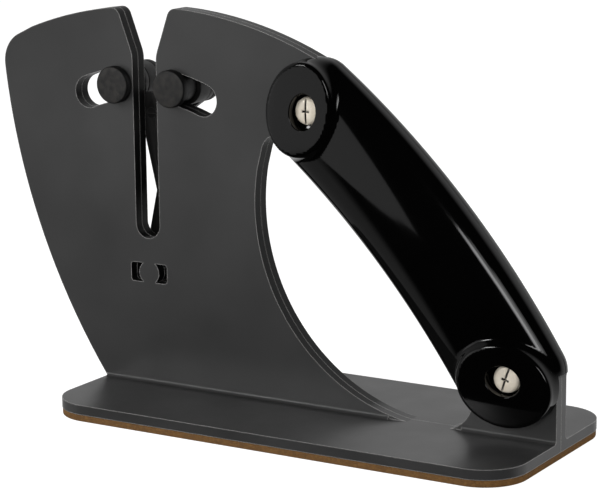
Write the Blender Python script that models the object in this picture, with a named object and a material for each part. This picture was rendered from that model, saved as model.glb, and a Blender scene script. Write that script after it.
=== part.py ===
"""Bench-top pull-through knife sharpener with a side handle.

Two bent steel sheets stand back to back and form the base, the slotted plate and a small upright.
Behind the plate two sprung arms turn on one stud and cross each other, so that their abrasive
strips make a V behind the slot. A knob on each arm runs in its own curved slot.
An arched two-part handle joins the plate to the upright.

Sizes are in millimetres and become metres when a mesh is made.
X runs along the base, Y away from the user's side, Z up. The origin is the centre of the underside.
"""
import math

import bmesh
import bpy
from mathutils import Vector

MM = 0.001
ROUND_STEPS = 24

# Base
BASE_LENGTH = 200.0
BASE_WIDTH = 91.0
BASE_CORNER = 17.2
CORK_TOP = 2.6
SHEET_UNDERSIDE = 2.7
SHEET_TOP = 6.6
SEAM_GAP = 0.1
PLATE_FACE = 4.0
FOOT_FILLET = 1.6
EMBED = 1.2

# Plate: its edges are arcs in the XZ plane
LEFT_EDGE_CENTRE = (113.5, 158.0)
LEFT_EDGE_RADIUS = 261.4
TOP_EDGE_CENTRE = (-73.0, -15.5)
TOP_EDGE_RADIUS = 173.0
TOP_LEFT_CORNER = 12.5
OPENING_CENTRE = (50.4, 83.5)
OPENING_RADIUS = 77.8

# Knife slot, knob slots and windows, all about one centre line
CENTRE_X = -77.7
SLOT_HALF = 5.6
SLOT_BOTTOM = 71.1
MOUTH_START = 138.3
MOUTH_HALF = 12.4
MOUTH_CORNER = 4.0
PIVOT_Z = 51.5
KNOB_SLOT_HALF = 6.35
KNOB_HALF_SPACING = 13.4
KNOB_Z = 126.2
SWING_DEG = 10.8
WINDOW_HALF = 8.55
WINDOW_LOW = 47.7
WINDOW_HIGH = 55.4
WINDOW_BRIDGE = 4.75

# Upright
UPRIGHT_LEFT = 66.0
UPRIGHT_RIGHT = 100.0
UPRIGHT_FOOT_RADIUS = 12.4

# Handle
UPPER_LOBE = (-0.4, 121.8)
UPPER_SCREW = (-1.8, 121.8)
LOWER_SCREW = (81.4, 29.4)
ARCH_CENTRE = (-232.0, -167.3)
ARCH_RADIUS = 368.8
GRIP_UPPER_HALF_WIDTH = 20.9
GRIP_LOWER_HALF_WIDTH = 21.9
GRIP_DEPTH = 9.5
GRIP_END_DEPTH = 8.3
GRIP_SQUARENESS = 2.6
GRIP_END_LENGTH = 14.7
UPPER_BOSS = {"centre": (-4.2, 122.35), "half": (18.35, 14.1), "tilt": 77.0}
LOWER_BOSS = {"centre": (81.1, 27.2), "half": (19.2, 15.4), "tilt": 174.0}
BOSS_FACE = 11.0
REBATE_GAP = 0.35
REBATE_EXIT = 32.5
RECESS_HALF = (7.0, 5.6)
RECESS_FLOOR = 5.6
SCREW_HEAD_RADIUS = 5.1
SCREW_SHANK_RADIUS = 2.5

# Arms, in their own frame: across is to the right of the arm, along is up it, from the pivot
ARM_TILT_DEG = 12.8
ARM_THICKNESS = 3.2
LEFT_ARM_FRONT = 4.7
RIGHT_ARM_FRONT = 12.0
BAR_INNER = 5.7
BAR_OUTER = 13.1
BAR_END = 70.4
EYE_RADIUS = 7.4
TAIL_ALONG = -22.5
TAIL_ACROSS = -7.2
JOURNAL_RADIUS = 4.0
BUSH_OUTER = 5.0
RUNNING_GAP = 0.05
STRIP_THICKNESS = 1.9

# Knobs
KNOB_RADIUS = 7.35
BARREL_RADIUS = 7.5
KNOB_FRONT = -7.8
KNOB_BACK = 18.5
POST_RADIUS = 5.8
KNOB_SCREW_RADIUS = 2.0

# Springs
SPRING_RADIUS = 1.5
WIRE_RADIUS = 0.32
SPRING_TURNS = 11
LEFT_SPRING_Y = 9.9
RIGHT_SPRING_Y = 17.3
ANCHOR_REACH = 26.3
ANCHOR_Z = 28.0
PIN_RADIUS = 1.5

COLOURS = {
    "sheet": ((0.055, 0.056, 0.055), 0.42, 0.8),
    "cork": ((0.36, 0.21, 0.09), 0.9, 0.0),
    "gloss": ((0.008, 0.008, 0.008), 0.08, 0.0),
    "matt": ((0.02, 0.02, 0.018), 0.6, 0.0),
    "arm": ((0.012, 0.012, 0.012), 0.5, 0.6),
    "nickel": ((0.75, 0.72, 0.68), 0.2, 1.0),
    "steel": ((0.45, 0.45, 0.46), 0.3, 1.0),
    "bronze": ((0.55, 0.38, 0.18), 0.35, 1.0),
    "grit": ((0.25, 0.25, 0.26), 0.7, 0.9),
}


def clear_scene():
    """Remove whatever the scene starts with."""
    for thing in list(bpy.data.objects):
        bpy.data.objects.remove(thing, do_unlink=True)


def paint(thing, name, kind):
    """Give an object its own Principled material."""
    colour, roughness, metallic = COLOURS[kind]
    material = bpy.data.materials.new(name)
    material.use_nodes = True
    shader = material.node_tree.nodes["Principled BSDF"]
    shader.inputs["Base Color"].default_value = (*colour, 1.0)
    shader.inputs["Roughness"].default_value = roughness
    shader.inputs["Metallic"].default_value = metallic
    thing.data.materials.append(material)


def make_object(name, corners, faces, kind=None):
    """Make a closed mesh object from corners in millimetres."""
    mesh = bpy.data.meshes.new(name)
    mesh.from_pydata([Vector(corner) * MM for corner in corners], [], faces)
    work = bmesh.new()
    work.from_mesh(mesh)
    bmesh.ops.recalc_face_normals(work, faces=work.faces)
    work.to_mesh(mesh)
    work.free()
    mesh.shade_smooth()
    mesh.set_sharp_from_angle(angle=math.radians(35.0))
    thing = bpy.data.objects.new(name, mesh)
    bpy.context.scene.collection.objects.link(thing)
    if kind:
        paint(thing, name, kind)
    return thing


def combine(thing, other, operation):
    """Join a helper to an object, or cut the object with it."""
    other.hide_render = True
    other.display_type = "WIRE"
    step = thing.modifiers.new(other.name, "BOOLEAN")
    step.operation = operation
    step.object = other
    step.solver = "EXACT"


def cut(thing, other):
    combine(thing, other, "DIFFERENCE")


def join(thing, other):
    combine(thing, other, "UNION")


# Outlines


def arc(centre, radius, start, end, steps):
    """Points of an arc, from one angle to another in degrees."""
    points = []
    for step in range(steps + 1):
        angle = math.radians(start + (end - start) * step / steps)
        points.append((centre[0] + radius * math.cos(angle), centre[1] + radius * math.sin(angle)))
    return points


def angle_at(centre, point):
    """Direction of a point from a centre, in degrees."""
    return math.degrees(math.atan2(point[1] - centre[1], point[0] - centre[0])) % 360.0


def on_top_edge(x, grow=0.0):
    """Point of the plate's arched top edge at a given X."""
    radius = TOP_EDGE_RADIUS + grow
    rise = math.sqrt(radius**2 - (x - TOP_EDGE_CENTRE[0]) ** 2)
    return (x, TOP_EDGE_CENTRE[1] + rise)


def on_left_edge(z):
    """Point of the plate's left edge at a given height."""
    reach = math.sqrt(LEFT_EDGE_RADIUS**2 - (z - LEFT_EDGE_CENTRE[1]) ** 2)
    return (LEFT_EDGE_CENTRE[0] - reach, z)


def on_opening(z):
    """Point of the plate's hollow right edge at a given height."""
    reach = math.sqrt(OPENING_RADIUS**2 - (z - OPENING_CENTRE[1]) ** 2)
    return (OPENING_CENTRE[0] - reach, z)


def round_corners(points, steps=6):
    """Round each corner (x, z, radius) of an outline; a plain (x, z) stays sharp."""
    outline = []
    for index, point in enumerate(points):
        if len(point) == 2 or point[2] == 0.0:
            outline.append((point[0], point[1]))
            continue
        corner = Vector(point[:2])
        before = (Vector(points[index - 1][:2]) - corner).normalized()
        after = (Vector(points[(index + 1) % len(points)][:2]) - corner).normalized()
        half = before.angle(after) / 2.0
        centre = corner + (before + after).normalized() * (point[2] / math.sin(half))
        first = corner + before * (point[2] / math.tan(half)) - centre
        last = corner + after * (point[2] / math.tan(half)) - centre
        sweep = first.angle_signed(last)
        for step in range(steps + 1):
            turn = -sweep * step / steps
            spoke = Vector(
                (
                    first.x * math.cos(turn) - first.y * math.sin(turn),
                    first.x * math.sin(turn) + first.y * math.cos(turn),
                )
            )
            outline.append(tuple(centre + spoke))
    return outline


def prism(name, outline, low, high, plane="XZ", kind=None):
    """Extrude an outline: in XZ it runs along Y, in XY along Z, in YZ along X."""

    def place(point, depth):
        if plane == "XZ":
            return (point[0], depth, point[1])
        if plane == "XY":
            return (point[0], point[1], depth)
        return (depth, point[0], point[1])

    count = len(outline)
    corners = [place(point, low) for point in outline] + [place(point, high) for point in outline]
    faces = [tuple(range(count)), tuple(range(2 * count - 1, count - 1, -1))]
    for index in range(count):
        following = (index + 1) % count
        faces.append((index, following, following + count, index + count))
    return make_object(name, corners, faces, kind)


def turned(name, profile, centre, kind=None, steps=ROUND_STEPS):
    """Turn a closed profile of (radius, y) about an axis along Y through centre (x, z)."""
    corners = []
    rings = []
    for radius, depth in profile:
        if radius == 0.0:
            rings.append([len(corners)] * steps)
            corners.append((centre[0], depth, centre[1]))
            continue
        rings.append(list(range(len(corners), len(corners) + steps)))
        for step in range(steps):
            angle = 2.0 * math.pi * step / steps
            spoke = (radius * math.cos(angle), radius * math.sin(angle))
            corners.append((centre[0] + spoke[0], depth, centre[1] + spoke[1]))
    faces = []
    for index, ring in enumerate(rings):
        other = rings[(index + 1) % len(rings)]
        if len(set(ring)) == 1 and len(set(other)) == 1:
            continue
        for step in range(steps):
            following = (step + 1) % steps
            face = (ring[step], ring[following], other[following], other[step])
            faces.append(tuple(dict.fromkeys(face)))
    return make_object(name, corners, faces, kind)


def solid_round(radius, low, high, ease=0.0):
    """Profile of a plain cylinder, with both rims eased."""
    if ease == 0.0:
        return [(0.0, low), (radius, low), (radius, high), (0.0, high)]
    return [
        (0.0, low),
        (radius - ease, low),
        (radius, low + ease),
        (radius, high - ease),
        (radius - ease, high),
        (0.0, high),
    ]


def ring_round(inner, outer, low, high):
    """Profile of a plain tube."""
    return [(inner, low), (outer, low), (outer, high), (inner, high)]


# Base and sheets


def base_outline(inset=0.0):
    """Rounded rectangle of the base, seen from above."""
    x = BASE_LENGTH / 2.0 - inset
    y = BASE_WIDTH / 2.0 - inset
    radius = BASE_CORNER - inset
    return round_corners([(-x, -y, radius), (x, -y, radius), (x, y, radius), (-x, y, radius)], 10)


def half_base_outline(side):
    """Half of the base on one side of the seam."""
    x = BASE_LENGTH / 2.0
    y = side * BASE_WIDTH / 2.0
    seam = side * SEAM_GAP
    return round_corners([(-x, seam), (x, seam), (x, y, BASE_CORNER), (-x, y, BASE_CORNER)], 10)


def upper_tab(grow):
    """The plate's lobe under the handle's upper boss, from the top edge round to the opening."""
    right = 10.4 + grow
    points = [on_top_edge(2.0, grow), (*on_top_edge(right, grow), 9.0)]
    points += arc(UPPER_LOBE, right - UPPER_LOBE[0], 0.0, -120.0, 10)
    points.append((-22.6 + grow, UPPER_LOBE[1] - 10.8 - grow, 8.0))
    points.append((on_opening(98.0)[0] + grow, 98.0))
    return points


def lower_tab(grow):
    """The upright's top, under the handle's lower boss."""
    return [
        (UPRIGHT_LEFT - grow, 30.0, 3.0),
        (69.0 - grow, 40.0 + grow, 6.0),
        (90.0, 42.0 + grow, 8.0),
        (UPRIGHT_RIGHT + grow, 31.0 + grow, 2.0),
    ]


def plate_outline():
    """Outline of the slotted plate, with the knife slot open at the top."""
    deep = SHEET_TOP - EMBED
    points = [(on_left_edge(SHEET_TOP)[0], deep)]
    points += [on_left_edge(SHEET_TOP + 12.2 * step) for step in range(11)]
    points.append((-147.3, 140.0, TOP_LEFT_CORNER))
    points += [on_top_edge(-132.0 + 8.5 * step) for step in range(5)]
    left_mouth = on_top_edge(CENTRE_X - MOUTH_HALF)
    right_mouth = on_top_edge(CENTRE_X + MOUTH_HALF)
    points.append((*left_mouth, MOUTH_CORNER))
    points.append((CENTRE_X - SLOT_HALF, MOUTH_START, 12.0))
    points += arc((CENTRE_X, SLOT_BOTTOM), SLOT_HALF, 180.0, 360.0, 16)
    points.append((CENTRE_X + SLOT_HALF, MOUTH_START, 12.0))
    points.append((*right_mouth, MOUTH_CORNER))
    points += [on_top_edge(-57.0 + 8.5 * step) for step in range(7)]
    points += upper_tab(0.0)
    start = angle_at(OPENING_CENTRE, on_opening(98.0))
    end = angle_at(OPENING_CENTRE, on_opening(SHEET_TOP))
    points += arc(OPENING_CENTRE, OPENING_RADIUS, start, end, 22)[1:]
    points.append((on_opening(SHEET_TOP)[0], deep))
    return round_corners(points)


def upright_outline():
    """Outline of the small upright that carries the handle's lower end."""
    deep = SHEET_TOP - EMBED
    centre = (UPRIGHT_LEFT - UPRIGHT_FOOT_RADIUS, 18.6)
    start = math.degrees(math.asin((SHEET_TOP - centre[1]) / UPRIGHT_FOOT_RADIUS))
    points = arc(centre, UPRIGHT_FOOT_RADIUS, start, 0.0, 8)
    points.insert(0, (points[0][0], deep))
    points += lower_tab(0.0)
    points.append((UPRIGHT_RIGHT, deep))
    return round_corners(points)


def foot_fillet(name, side, left, right):
    """Inside radius of the bend between a base half and its plate."""
    face = side * PLATE_FACE
    run = side * FOOT_FILLET
    buried = side * EMBED
    top = SHEET_TOP + FOOT_FILLET
    outline = [(face - buried, top), (face - buried, SHEET_TOP - EMBED)]
    outline.append((face + run, SHEET_TOP - EMBED))
    for step in range(7):
        angle = math.pi / 2.0 * step / 6
        reach = face + run * (1.0 - math.sin(angle))
        outline.append((reach, top - FOOT_FILLET * math.cos(angle)))
    return prism(name, outline, left, right, "YZ")


def knob_slot(name, side, low, high):
    """Cutter for one curved knob slot, centred on the pivot."""
    reach = math.hypot(KNOB_HALF_SPACING, KNOB_Z - PIVOT_Z)
    rest = math.degrees(math.atan2(KNOB_Z - PIVOT_Z, KNOB_HALF_SPACING))
    pivot = (CENTRE_X, PIVOT_Z)
    first = 180.0 - rest if side < 0 else rest
    last = first - side * SWING_DEG
    outline = arc(pivot, reach - KNOB_SLOT_HALF, first, last, 8)
    end = arc(pivot, reach, last, last, 1)[0]
    outline += arc(end, KNOB_SLOT_HALF, last + 180.0, last + 180.0 + side * 180.0, 14)[1:-1]
    outline += arc(pivot, reach + KNOB_SLOT_HALF, last, first, 8)
    start = arc(pivot, reach, first, first, 1)[0]
    outline += arc(start, KNOB_SLOT_HALF, first, first + side * 180.0, 14)[1:-1]
    return prism(name, outline, low, high)


def window(name, side, low, high):
    """Cutter for one window beside the pivot; its inner side is round."""
    edge = CENTRE_X + side * WINDOW_HALF
    middle = (WINDOW_LOW + WINDOW_HIGH) / 2.0
    spread = math.degrees(math.asin((WINDOW_HIGH - WINDOW_LOW) / 2.0 / WINDOW_BRIDGE))
    inner = arc((CENTRE_X, middle), WINDOW_BRIDGE, -spread, spread, 8)
    inner = [(CENTRE_X + side * (x - CENTRE_X), z) for x, z in inner]
    outline = inner + [(edge, WINDOW_HIGH, 1.2), (edge, WINDOW_LOW, 1.2)]
    return prism(name, round_corners(outline), low, high)


def body_sheet(name, side):
    """One bent sheet: half of the base, of the plate and of the upright."""
    near = side * SEAM_GAP
    far = side * PLATE_FACE
    sheet = prism(name, half_base_outline(side), SHEET_UNDERSIDE, SHEET_TOP, "XY", "sheet")
    join(sheet, prism(name + "_plate", plate_outline(), near, far))
    join(sheet, prism(name + "_upright", upright_outline(), near, far))
    plate_end = on_opening(SHEET_TOP + FOOT_FILLET)[0]
    join(sheet, foot_fillet(name + "_plate_foot", side, on_left_edge(SHEET_TOP)[0], plate_end))
    join(sheet, foot_fillet(name + "_upright_foot", side, 61.6, UPRIGHT_RIGHT))
    low, high = -PLATE_FACE - 1.0, PLATE_FACE + 1.0
    for hand, word in ((-1, "_left"), (1, "_right")):
        cut(sheet, knob_slot(name + word + "_knob_slot", hand, low, high))
        cut(sheet, window(name + word + "_window", hand, low, high))
    for word, centre in (("_upper", UPPER_SCREW), ("_lower", LOWER_SCREW)):
        hole = solid_round(SCREW_SHANK_RADIUS + 0.2, low, high)
        cut(sheet, turned(name + word + "_screw_hole", hole, centre))
    return sheet


def spring_anchor(side):
    """Place of one spring's fixed post, in XZ."""
    return (CENTRE_X + side * ANCHOR_REACH, ANCHOR_Z)


def build_base():
    """Cork underside and both sheets, with the rear sheet's holes for the stud and posts."""
    prism("cork_base_pad", base_outline(0.2), 0.0, CORK_TOP, "XY", "cork")
    body_sheet("front_body_sheet", -1)
    rear = body_sheet("rear_body_sheet", 1)
    stud_hole = solid_round(2.95, -1.0, PLATE_FACE + 1.0)
    cut(rear, turned("stud_hole", stud_hole, (CENTRE_X, PIVOT_Z)))
    for side, word in ((-1, "left"), (1, "right")):
        post_hole = solid_round(PIN_RADIUS + RUNNING_GAP, -1.0, PLATE_FACE + 1.0, 0.0)
        cut(rear, turned(word + "_post_hole", post_hole, spring_anchor(side), None, 20))


# Handle


def grip_rings(side):
    """Cross-sections of one handle half, from the upper end to the lower one."""
    upper = math.radians(angle_at(ARCH_CENTRE, UPPER_BOSS["centre"]))
    lower = math.radians(angle_at(ARCH_CENTRE, LOWER_BOSS["centre"]))
    reach = GRIP_END_LENGTH / ARCH_RADIUS
    ends = [math.sin(math.radians(angle)) for angle in (82.0, 68.0, 52.0, 36.0, 18.0)]
    stations = [(upper + reach * end, end) for end in ends]
    stations += [(upper + (lower - upper) * step / 24.0, 0.0) for step in range(25)]
    stations += [(lower - reach * end, end) for end in reversed(ends)]
    rings = []
    for angle, end in stations:
        middle = (angle - lower) / (upper - lower)
        swell = max(0.0, 4.0 * middle * (1.0 - middle))
        taper = math.sqrt(1.0 - end * end)
        width = GRIP_LOWER_HALF_WIDTH + (GRIP_UPPER_HALF_WIDTH - GRIP_LOWER_HALF_WIDTH) * middle
        width *= taper
        depth = (GRIP_END_DEPTH + (GRIP_DEPTH - GRIP_END_DEPTH) * swell) * taper**0.35
        rings.append((angle, width, depth, side))
    return rings


def grip_section(angle, width, depth, side, steps=20):
    """One half-round section, flat on the seam."""
    points = []
    power = 2.0 / GRIP_SQUARENESS
    for step in range(steps + 1):
        turn = math.pi * step / steps
        across = math.copysign(abs(math.cos(turn)) ** power, math.cos(turn)) * width
        out = SEAM_GAP + depth * abs(math.sin(turn)) ** power
        radius = ARCH_RADIUS + across
        x = ARCH_CENTRE[0] + radius * math.cos(angle)
        z = ARCH_CENTRE[1] + radius * math.sin(angle)
        points.append((x, side * out, z))
    return points


def grip(name, side, kind):
    """The arched grip of one handle half."""
    corners = []
    faces = []
    rings = [grip_section(*ring) for ring in grip_rings(side)]
    count = len(rings[0])
    for ring in rings:
        corners += ring
    for row in range(len(rings) - 1):
        for index in range(count):
            following = (index + 1) % count
            a, b = row * count, (row + 1) * count
            faces.append((a + index, a + following, b + following, b + index))
    last = (len(rings) - 1) * count
    faces += [tuple(range(count)), tuple(range(last + count - 1, last - 1, -1))]
    return make_object(name, corners, faces, kind)


def ellipse(centre, half, tilt_deg, steps=48):
    """Outline of an ellipse whose long axis is tilted from X."""
    tilt = math.radians(tilt_deg)
    points = []
    for step in range(steps):
        angle = 2.0 * math.pi * step / steps
        along, across = half[0] * math.cos(angle), half[1] * math.sin(angle)
        x = centre[0] + along * math.cos(tilt) - across * math.sin(tilt)
        z = centre[1] + along * math.sin(tilt) + across * math.cos(tilt)
        points.append((x, z))
    return points


def handle_boss(name, boss, side):
    """Flat-faced boss around a handle screw, with an eased rim."""
    foot = SEAM_GAP + 0.05
    levels = [(foot, 0.0), (BOSS_FACE - 0.9, 0.0), (BOSS_FACE - 0.3, 0.3), (BOSS_FACE, 0.9)]
    corners = []
    for out, inset in levels:
        half = (boss["half"][0] - inset, boss["half"][1] - inset)
        corners += [(x, side * out, z) for x, z in ellipse(boss["centre"], half, boss["tilt"])]
    count = len(corners) // len(levels)
    faces = [tuple(range(count)), tuple(range(len(corners) - 1, len(corners) - count - 1, -1))]
    for row in range(len(levels) - 1):
        for index in range(count):
            following = (index + 1) % count
            a, b = row * count, (row + 1) * count
            faces.append((a + index, a + following, b + following, b + index))
    return make_object(name, corners, faces)


def rebate(name, which, side):
    """Cutter for the pocket that takes the plate's lobe or the upright's top, open at the right."""
    if which == "upper":
        outline = upper_tab(REBATE_GAP) + [(-50.0, 98.0)]
        outline += [on_top_edge(-50.0 + 8.0 * step, REBATE_GAP) for step in range(6)]
    else:
        outline = [(UPRIGHT_LEFT - 4.0, -5.0), (UPRIGHT_LEFT - 2.4, 11.0)]
        outline += [(UPRIGHT_LEFT - REBATE_GAP, 18.6)] + lower_tab(REBATE_GAP)[:-1]
        outline += [(UPRIGHT_RIGHT - 0.75, REBATE_EXIT), (110.0, REBATE_EXIT), (110.0, -5.0)]
    return prism(name, round_corners(outline), -side * 2.0, side * (PLATE_FACE + REBATE_GAP))


def handle_half(name, side):
    """One half of the handle with its pockets and screw holes; only the front one has bosses."""
    half = grip(name, side, "gloss")
    ends = (("upper", UPPER_BOSS, UPPER_SCREW), ("lower", LOWER_BOSS, LOWER_SCREW))
    for word, boss, _ in ends:
        if side < 0:
            join(half, handle_boss(name + "_" + word + "_boss", boss, side))
    for word, boss, centre in ends:
        label = name + "_" + word
        cut(half, rebate(label + "_rebate", word, side))
        recess = ellipse(centre, RECESS_HALF, boss["tilt"])
        cut(half, prism(label + "_recess", recess, side * RECESS_FLOOR, side * 13.0))
        hole = solid_round(SCREW_SHANK_RADIUS + 0.2, *sorted((-side * 1.0, side * (RECESS_FLOOR + 1.0))))
        cut(half, turned(label + "_screw_hole", hole, centre))


def handle_screw(name, centre, turn_deg):
    """Machine screw with a low head and a combined slot and cross."""
    seat, top = -6.5, -8.2
    profile = [(0.0, top - 0.25), (2.6, top - 0.18), (4.4, top + 0.15), (SCREW_HEAD_RADIUS, top + 0.8)]
    profile += [(SCREW_HEAD_RADIUS, seat), (SCREW_SHANK_RADIUS, seat)]
    profile += [(SCREW_SHANK_RADIUS, 6.6), (SCREW_SHANK_RADIUS - 0.5, 7.1), (0.0, 7.1)]
    screw = turned(name, profile, centre, "nickel")
    for word, long_half, wide_half, floor, extra in (
        ("_slot", 6.5, 0.6, top + 0.8, 90.0),
        ("_cross", 2.6, 0.55, top + 1.2, 0.0),
    ):
        angle = math.radians(turn_deg + extra)
        along = Vector((math.cos(angle), math.sin(angle)))
        across = Vector((-math.sin(angle), math.cos(angle)))
        outline = []
        for first, second in ((-1, -1), (1, -1), (1, 1), (-1, 1)):
            offset = along * (first * long_half) + across * (second * wide_half)
            outline.append((centre[0] + offset.x, centre[1] + offset.y))
        cut(screw, prism(name + word, outline, top - 2.0, floor))


def handle_nut(name, centre):
    """Round cap nut in the rear recess, with its blind thread towards the screw."""
    bore = SCREW_SHANK_RADIUS + 0.1
    profile = [(bore, 5.7), (SCREW_HEAD_RADIUS, 5.7), (SCREW_HEAD_RADIUS, 7.5), (4.4, 8.1)]
    profile += [(0.0, 8.3), (0.0, 7.3), (bore, 7.3)]
    nut = turned(name, profile, centre, "nickel")
    outline = [(-6.5, -0.6), (6.5, -0.6), (6.5, 0.6), (-6.5, 0.6)]
    outline = [(centre[0] + x, centre[1] + z) for x, z in outline]
    cut(nut, prism(name + "_slot", outline, 7.75, 11.0))


def build_handle():
    """Both handle halves and what holds them."""
    handle_half("handle_front_half", -1)
    handle_half("handle_rear_half", 1)
    washer = ring_round(SCREW_SHANK_RADIUS + 0.2, 5.3, -6.4, -5.7)
    for word, centre, turn_deg in (("upper", UPPER_SCREW, 0.0), ("lower", LOWER_SCREW, -18.0)):
        handle_screw("handle_" + word + "_screw", centre, turn_deg)
        turned("handle_" + word + "_washer", washer, centre, "nickel")
        handle_nut("handle_" + word + "_nut", centre)


# Arms


def arm_point(across, along, side):
    """Turn an arm's own (across, along) into XZ; side is -1 for the left arm."""
    tilt = math.radians(ARM_TILT_DEG)
    x = across * math.cos(tilt) - along * math.sin(tilt)
    z = across * math.sin(tilt) + along * math.cos(tilt)
    return (CENTRE_X - side * x, PIVOT_Z + z)


def eye_centre():
    """The knob's place in the arm's own frame."""
    tilt = math.radians(ARM_TILT_DEG)
    x, z = -KNOB_HALF_SPACING, KNOB_Z - PIVOT_Z
    return (x * math.cos(tilt) + z * math.sin(tilt), z * math.cos(tilt) - x * math.sin(tilt))


def arm_outline(side):
    """Bar, eye, hub and tail of an arm in one outline."""
    eye = eye_centre()
    drop = math.degrees(math.asin((BAR_END - eye[1]) / EYE_RADIUS))
    points = [(BAR_OUTER, BAR_END, 0.6), (BAR_OUTER, -4.0, 6.0)]
    points += [(TAIL_ACROSS + 4.5, TAIL_ALONG - 4.5, 4.4), (TAIL_ACROSS - 4.5, TAIL_ALONG - 4.5, 4.4)]
    points += [(-9.8, 9.8, 9.0), (BAR_INNER, 9.8, 3.0), (BAR_INNER, 63.0, 2.0)]
    points += arc(eye, EYE_RADIUS, 240.0, drop, 18)
    return [arm_point(x, z, side) for x, z in round_corners(points)]


def knob_centre(side):
    return (CENTRE_X + side * KNOB_HALF_SPACING, KNOB_Z)


def tail_centre(side):
    return arm_point(TAIL_ACROSS, TAIL_ALONG, side)


def strip_outline(side):
    """Abrasive strip along the V side of an arm's bar."""
    inner, outer = BAR_OUTER - 3.8, BAR_OUTER + 0.4
    points = [(inner, 34.0, 0.8), (outer, 34.0, 0.8), (outer, 69.6, 0.8), (inner, 69.6, 0.8)]
    return [arm_point(x, z, side) for x, z in round_corners(points, 3)]


def strip_screw(name, centre, front, inward):
    """Countersunk screw through the arm into the strip; inward is the way it points along Y."""
    head, shank = 2.1, 1.2
    profile = [(0.0, front + inward * 0.1), (head, front + inward * 0.1)]
    profile += [(head, front + inward * 0.3), (shank, front + inward * 1.2)]
    profile += [(shank, front + inward * 4.4), (0.0, front + inward * 4.4)]
    turned(name, profile, centre, "arm", 20)


def strip_screw_hole(name, centre, front, inward):
    """Cutter for a strip screw, with 0.1 of clearance all round."""
    profile = [(0.0, front - inward * 0.5), (2.2, front - inward * 0.5)]
    profile += [(2.2, front + inward * 0.35), (1.3, front + inward * 1.3)]
    profile += [(1.3, front + inward * 4.6), (0.0, front + inward * 4.6)]
    return turned(name, profile, centre, None, 20)


def build_arm(word, side, front):
    """One arm with its bush, strip, strip screws and tail pin."""
    back = front + ARM_THICKNESS
    arm = prism(word + "_arm", arm_outline(side), front, back, "XZ", "arm")
    pivot = (CENTRE_X, PIVOT_Z)
    bore = solid_round(BUSH_OUTER + RUNNING_GAP, front - 1.0, back + 1.0)
    cut(arm, turned(word + "_hub_bore", bore, pivot))
    bush = ring_round(JOURNAL_RADIUS + RUNNING_GAP, BUSH_OUTER, front - 0.1, back + 0.1)
    turned(word + "_arm_bush", bush, pivot, "bronze")
    screw_way = solid_round(KNOB_SCREW_RADIUS + 0.1, front - 1.0, back + 1.0)
    cut(arm, turned(word + "_eye_bore", screw_way, knob_centre(side), None, 20))
    build_strip(word, side, arm, front, back)
    build_tail_pin(word, side, arm, front, back)


def build_strip(word, side, arm, front, back):
    """Abrasive strip on the face that looks at the other arm, and its two screws."""
    if side < 0:
        face, inward, low = front, 1.0, back + 0.1
    else:
        face, inward, low = back, -1.0, front - 0.1 - STRIP_THICKNESS
    name = word + "_sharpening_strip"
    strip = prism(name, strip_outline(side), low, low + STRIP_THICKNESS, "XZ", "grit")
    for place, along in (("upper", 62.0), ("lower", 41.0)):
        centre = arm_point(BAR_OUTER - 2.35, along, side)
        label = word + "_strip_" + place + "_screw"
        hole = strip_screw_hole(label + "_hole", centre, face, inward)
        cut(arm, hole)
        cut(strip, hole)
        strip_screw(label, centre, face, inward)


def build_tail_pin(word, side, arm, front, back):
    """Pin on the tail that takes the spring's loop."""
    centre = tail_centre(side)
    hole = solid_round(PIN_RADIUS + RUNNING_GAP, front - 1.0, back + 1.0)
    cut(arm, turned(word + "_tail_hole", hole, centre, None, 20))
    loop = LEFT_SPRING_Y if side < 0 else RIGHT_SPRING_Y
    profile = [(0.0, front + 0.2), (PIN_RADIUS, front + 0.2), (PIN_RADIUS, loop + 0.8)]
    profile += [(2.5, loop + 0.8), (2.5, loop + 1.5), (0.0, loop + 1.5)]
    turned(word + "_tail_pin", profile, centre, "steel", 20)


def build_pivot():
    """Shouldered stud pressed into the rear sheet, with spacer, washer and nut."""
    pivot = (CENTRE_X, PIVOT_Z)
    end = RIGHT_ARM_FRONT + ARM_THICKNESS + 0.4
    profile = [(0.0, 0.3), (2.9, 0.3), (2.9, PLATE_FACE + 0.1), (JOURNAL_RADIUS, PLATE_FACE + 0.1)]
    profile += [(JOURNAL_RADIUS, end), (2.5, end), (2.5, end + 4.3), (2.0, end + 4.8)]
    profile += [(0.0, end + 4.8)]
    turned("pivot_stud", profile, pivot, "steel")
    low = LEFT_ARM_FRONT + ARM_THICKNESS + 0.25
    spacer = ring_round(JOURNAL_RADIUS + 0.1, 6.5, low, RIGHT_ARM_FRONT - 0.25)
    turned("pivot_spacer", spacer, pivot, "steel")
    turned("pivot_washer", ring_round(2.7, 7.0, end + 0.1, end + 0.9), pivot, "steel")
    corners = []
    for step in range(6):
        angle = math.radians(60.0 * step)
        corners.append((pivot[0] + 4.6 * math.cos(angle), pivot[1] + 4.6 * math.sin(angle)))
    nut = prism("pivot_nut", corners, end + 1.0, end + 4.0, "XZ", "steel")
    cut(nut, turned("pivot_nut_bore", solid_round(2.6, end, end + 5.0), pivot))


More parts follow.
